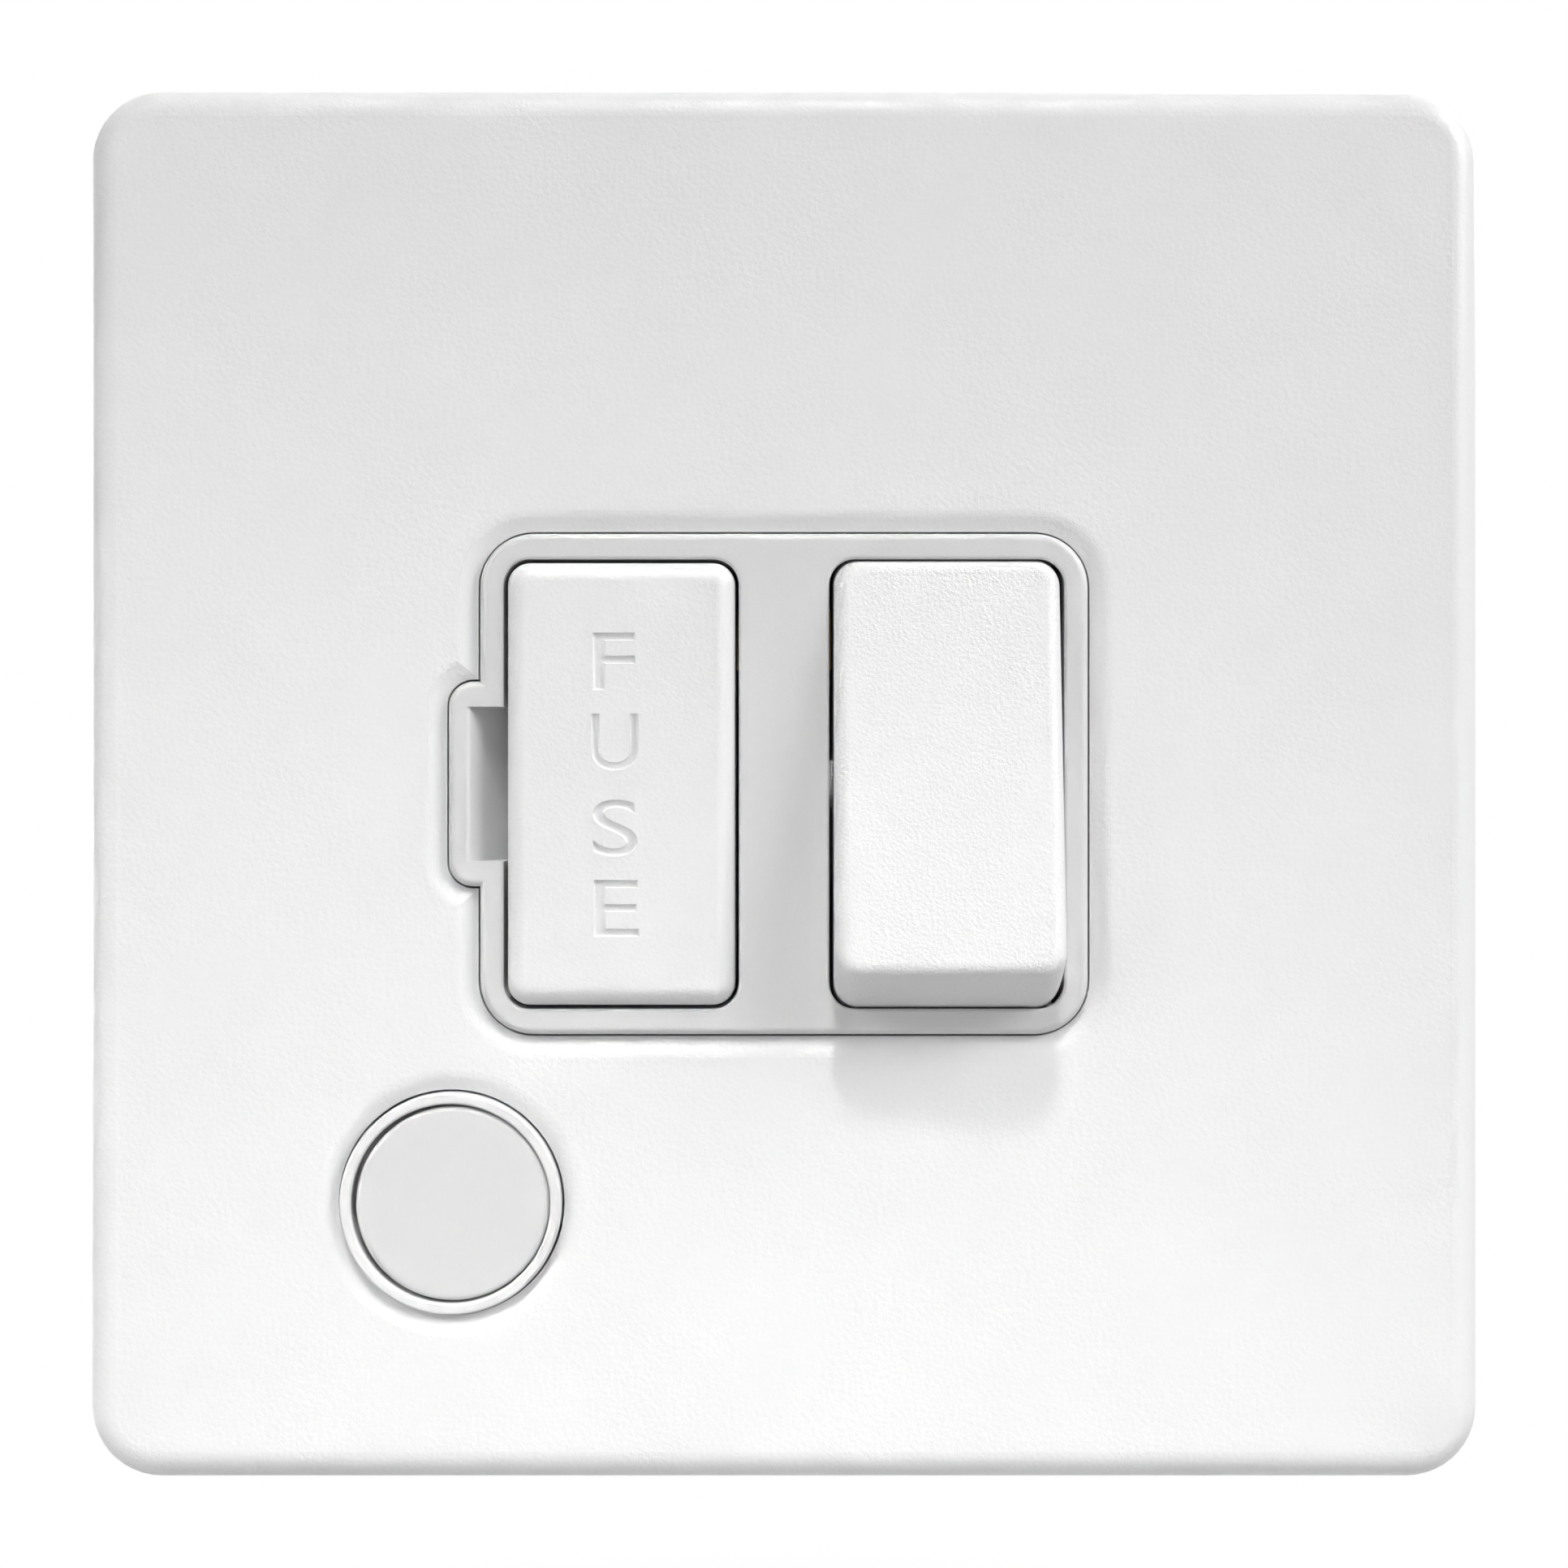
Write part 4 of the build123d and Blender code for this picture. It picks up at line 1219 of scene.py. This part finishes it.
@dataclass(frozen=True)
class Lamp:
    """A large square soft light."""

    name: str
    place: Point
    power: float
    size: float = 0.34
    beam: float = 180.0
    aim: Point = (0.0, 0.0, 0.0)

    def hang(self) -> None:
        """Adds the lamp to the scene, turned to its aim."""
        bpy.ops.object.light_add(type="AREA", location=self.place)
        lamp = bpy.context.object
        lamp.name = self.name
        lamp.data.shape = "SQUARE"
        lamp.data.size = self.size
        lamp.data.energy = self.power
        lamp.data.spread = math.radians(self.beam)
        lamp.visible_camera = False
        way = Vector(self.aim) - Vector(self.place)
        lamp.rotation_euler = way.to_track_quat("-Z", "Y").to_euler()


@dataclass(frozen=True)
class GridLamp(Lamp):
    """A smaller light with a grid on its front, which narrows its beam, aimed below the plate's middle."""

    size: float = 0.14
    beam: float = 9.0
    aim: Point = (0.0, 0.0, -0.10)


@dataclass
class Studio:
    """Camera at the photograph's place, soft lamps, a pale floor and a white background."""

    bench: Bench
    distance: float = 155.0 * MM
    sensor: float = 36.0
    lens: float = 55.98
    clip_start: float = 5.0 * MM
    ambient: float = 0.12
    floor_level: float = -90.0 * MM
    floor_radius: float = 150.0 * MM
    floor_sides: int = 96
    floor_fade: Tuple[float, float] = (0.45, 0.9)
    paper: Colour = grey(0.86)
    paper_bounce: Colour = grey(0.42)
    lamps: Tuple[Lamp, ...] = (
        GridLamp("top_key", (0.0, -0.359, 0.624), 0.031),
        GridLamp("key", (0.0, -0.509, 0.509), 0.013),
        GridLamp("left_key", (-0.450, -0.450, 0.337), 0.019, aim=(0.0, 0.0, -0.09)),
        GridLamp("front", (0.0, -0.709, 0.123), 0.007),
        Lamp("right_fill", (0.548, -0.292, 0.365), 3.75),
        Lamp("left_fill", (-0.624, -0.359, 0.0), 1.15),
        Lamp("low_fill", (0.0, -0.624, -0.359), 1.05),
        Lamp("rear_key", (0.30, 0.56, 0.34), 2.6),
        Lamp("rear_fill", (-0.40, 0.60, 0.06), 0.8),
    )

    def build(self) -> None:
        """Sets up the camera, the lamps, the world and the floor."""
        scene = bpy.context.scene
        scene.view_settings.view_transform = "Standard"
        self.bench.clear()
        bpy.ops.object.camera_add(
            location=(0.0, -self.distance, 0.0),
            rotation=(math.pi / 2, 0.0, 0.0),
        )
        scene.camera = bpy.context.object
        scene.camera.data.sensor_width = self.sensor
        scene.camera.data.lens = self.lens
        scene.camera.data.clip_start = self.clip_start
        for lamp in self.lamps:
            lamp.hang()
        self.light_world(scene)
        self.lay_floor()

    def light_world(self, scene: bpy.types.Scene) -> None:
        """Makes the world white to look at and dimmer as a light.

        Args:
            scene: The scene whose world it is.
        """
        scene.world = bpy.data.worlds.new("studio")
        recipe = Recipe(scene.world)
        strength = recipe.seen() * (1.0 - self.ambient) + self.ambient
        background = recipe.node(
            "ShaderNodeBackground",
            sockets={"Color": grey(1.0), "Strength": strength},
        )
        recipe.node("ShaderNodeOutputWorld", sockets={"Surface": recipe.signal(background)})

    def lay_floor(self) -> None:
        """Models a round floor that holds the shadow and fades to white further out."""
        self.bench.clear()
        bpy.ops.mesh.primitive_circle_add(
            vertices=self.floor_sides,
            radius=self.floor_radius,
            fill_type="NGON",
            location=(0.0, 0.0, self.floor_level),
        )
        floor = bpy.context.object
        floor.name = "floor"
        self.bench.settle(floor)
        recipe = Recipe(bpy.data.materials.new("floor_paper"))
        flat_place = recipe.place((1.0, 1.0, 0.0))
        length = recipe.node("ShaderNodeVectorMath", {"operation": "LENGTH"}, {0: flat_place})
        near, far = (self.floor_radius * share for share in self.floor_fade)
        seen = recipe.seen()
        faded = recipe.span(recipe.signal(length, "Value"), near, far) * seen
        paper = recipe.node(
            "ShaderNodeBsdfDiffuse",
            sockets={"Color": recipe.mix(seen, self.paper_bounce, self.paper)},
        )
        glow = recipe.node("ShaderNodeEmission", sockets={"Color": grey(1.0), "Strength": 1.0})
        blend = recipe.node(
            "ShaderNodeMixShader",
            sockets={0: faded, 1: recipe.signal(paper), 2: recipe.signal(glow)},
        )
        recipe.node("ShaderNodeOutputMaterial", sockets={"Surface": recipe.signal(blend)})
        floor.data.materials.append(recipe.owner)


def main() -> None:
    """Builds each sub-assembly in order, reports its pieces, and sets up the studio."""
    logging.basicConfig(level=logging.INFO, format="%(name)s: %(message)s")
    bench = Bench()
    bench.clear()
    shelf = FinishShelf()
    assemblies = [
        PlateAndFrame(shelf),
        FuseDrawer(bench, shelf),
        Switch(bench, shelf),
        RearHousing(bench, shelf),
        Terminals(bench, shelf),
        FlexOutlet(bench, shelf),
    ]
    for assembly in assemblies:
        for piece in assembly.build():
            log.info("%s: %s", type(assembly).__name__, piece.name)
    Studio(bench).build()


if __name__ == "__main__":
    main()
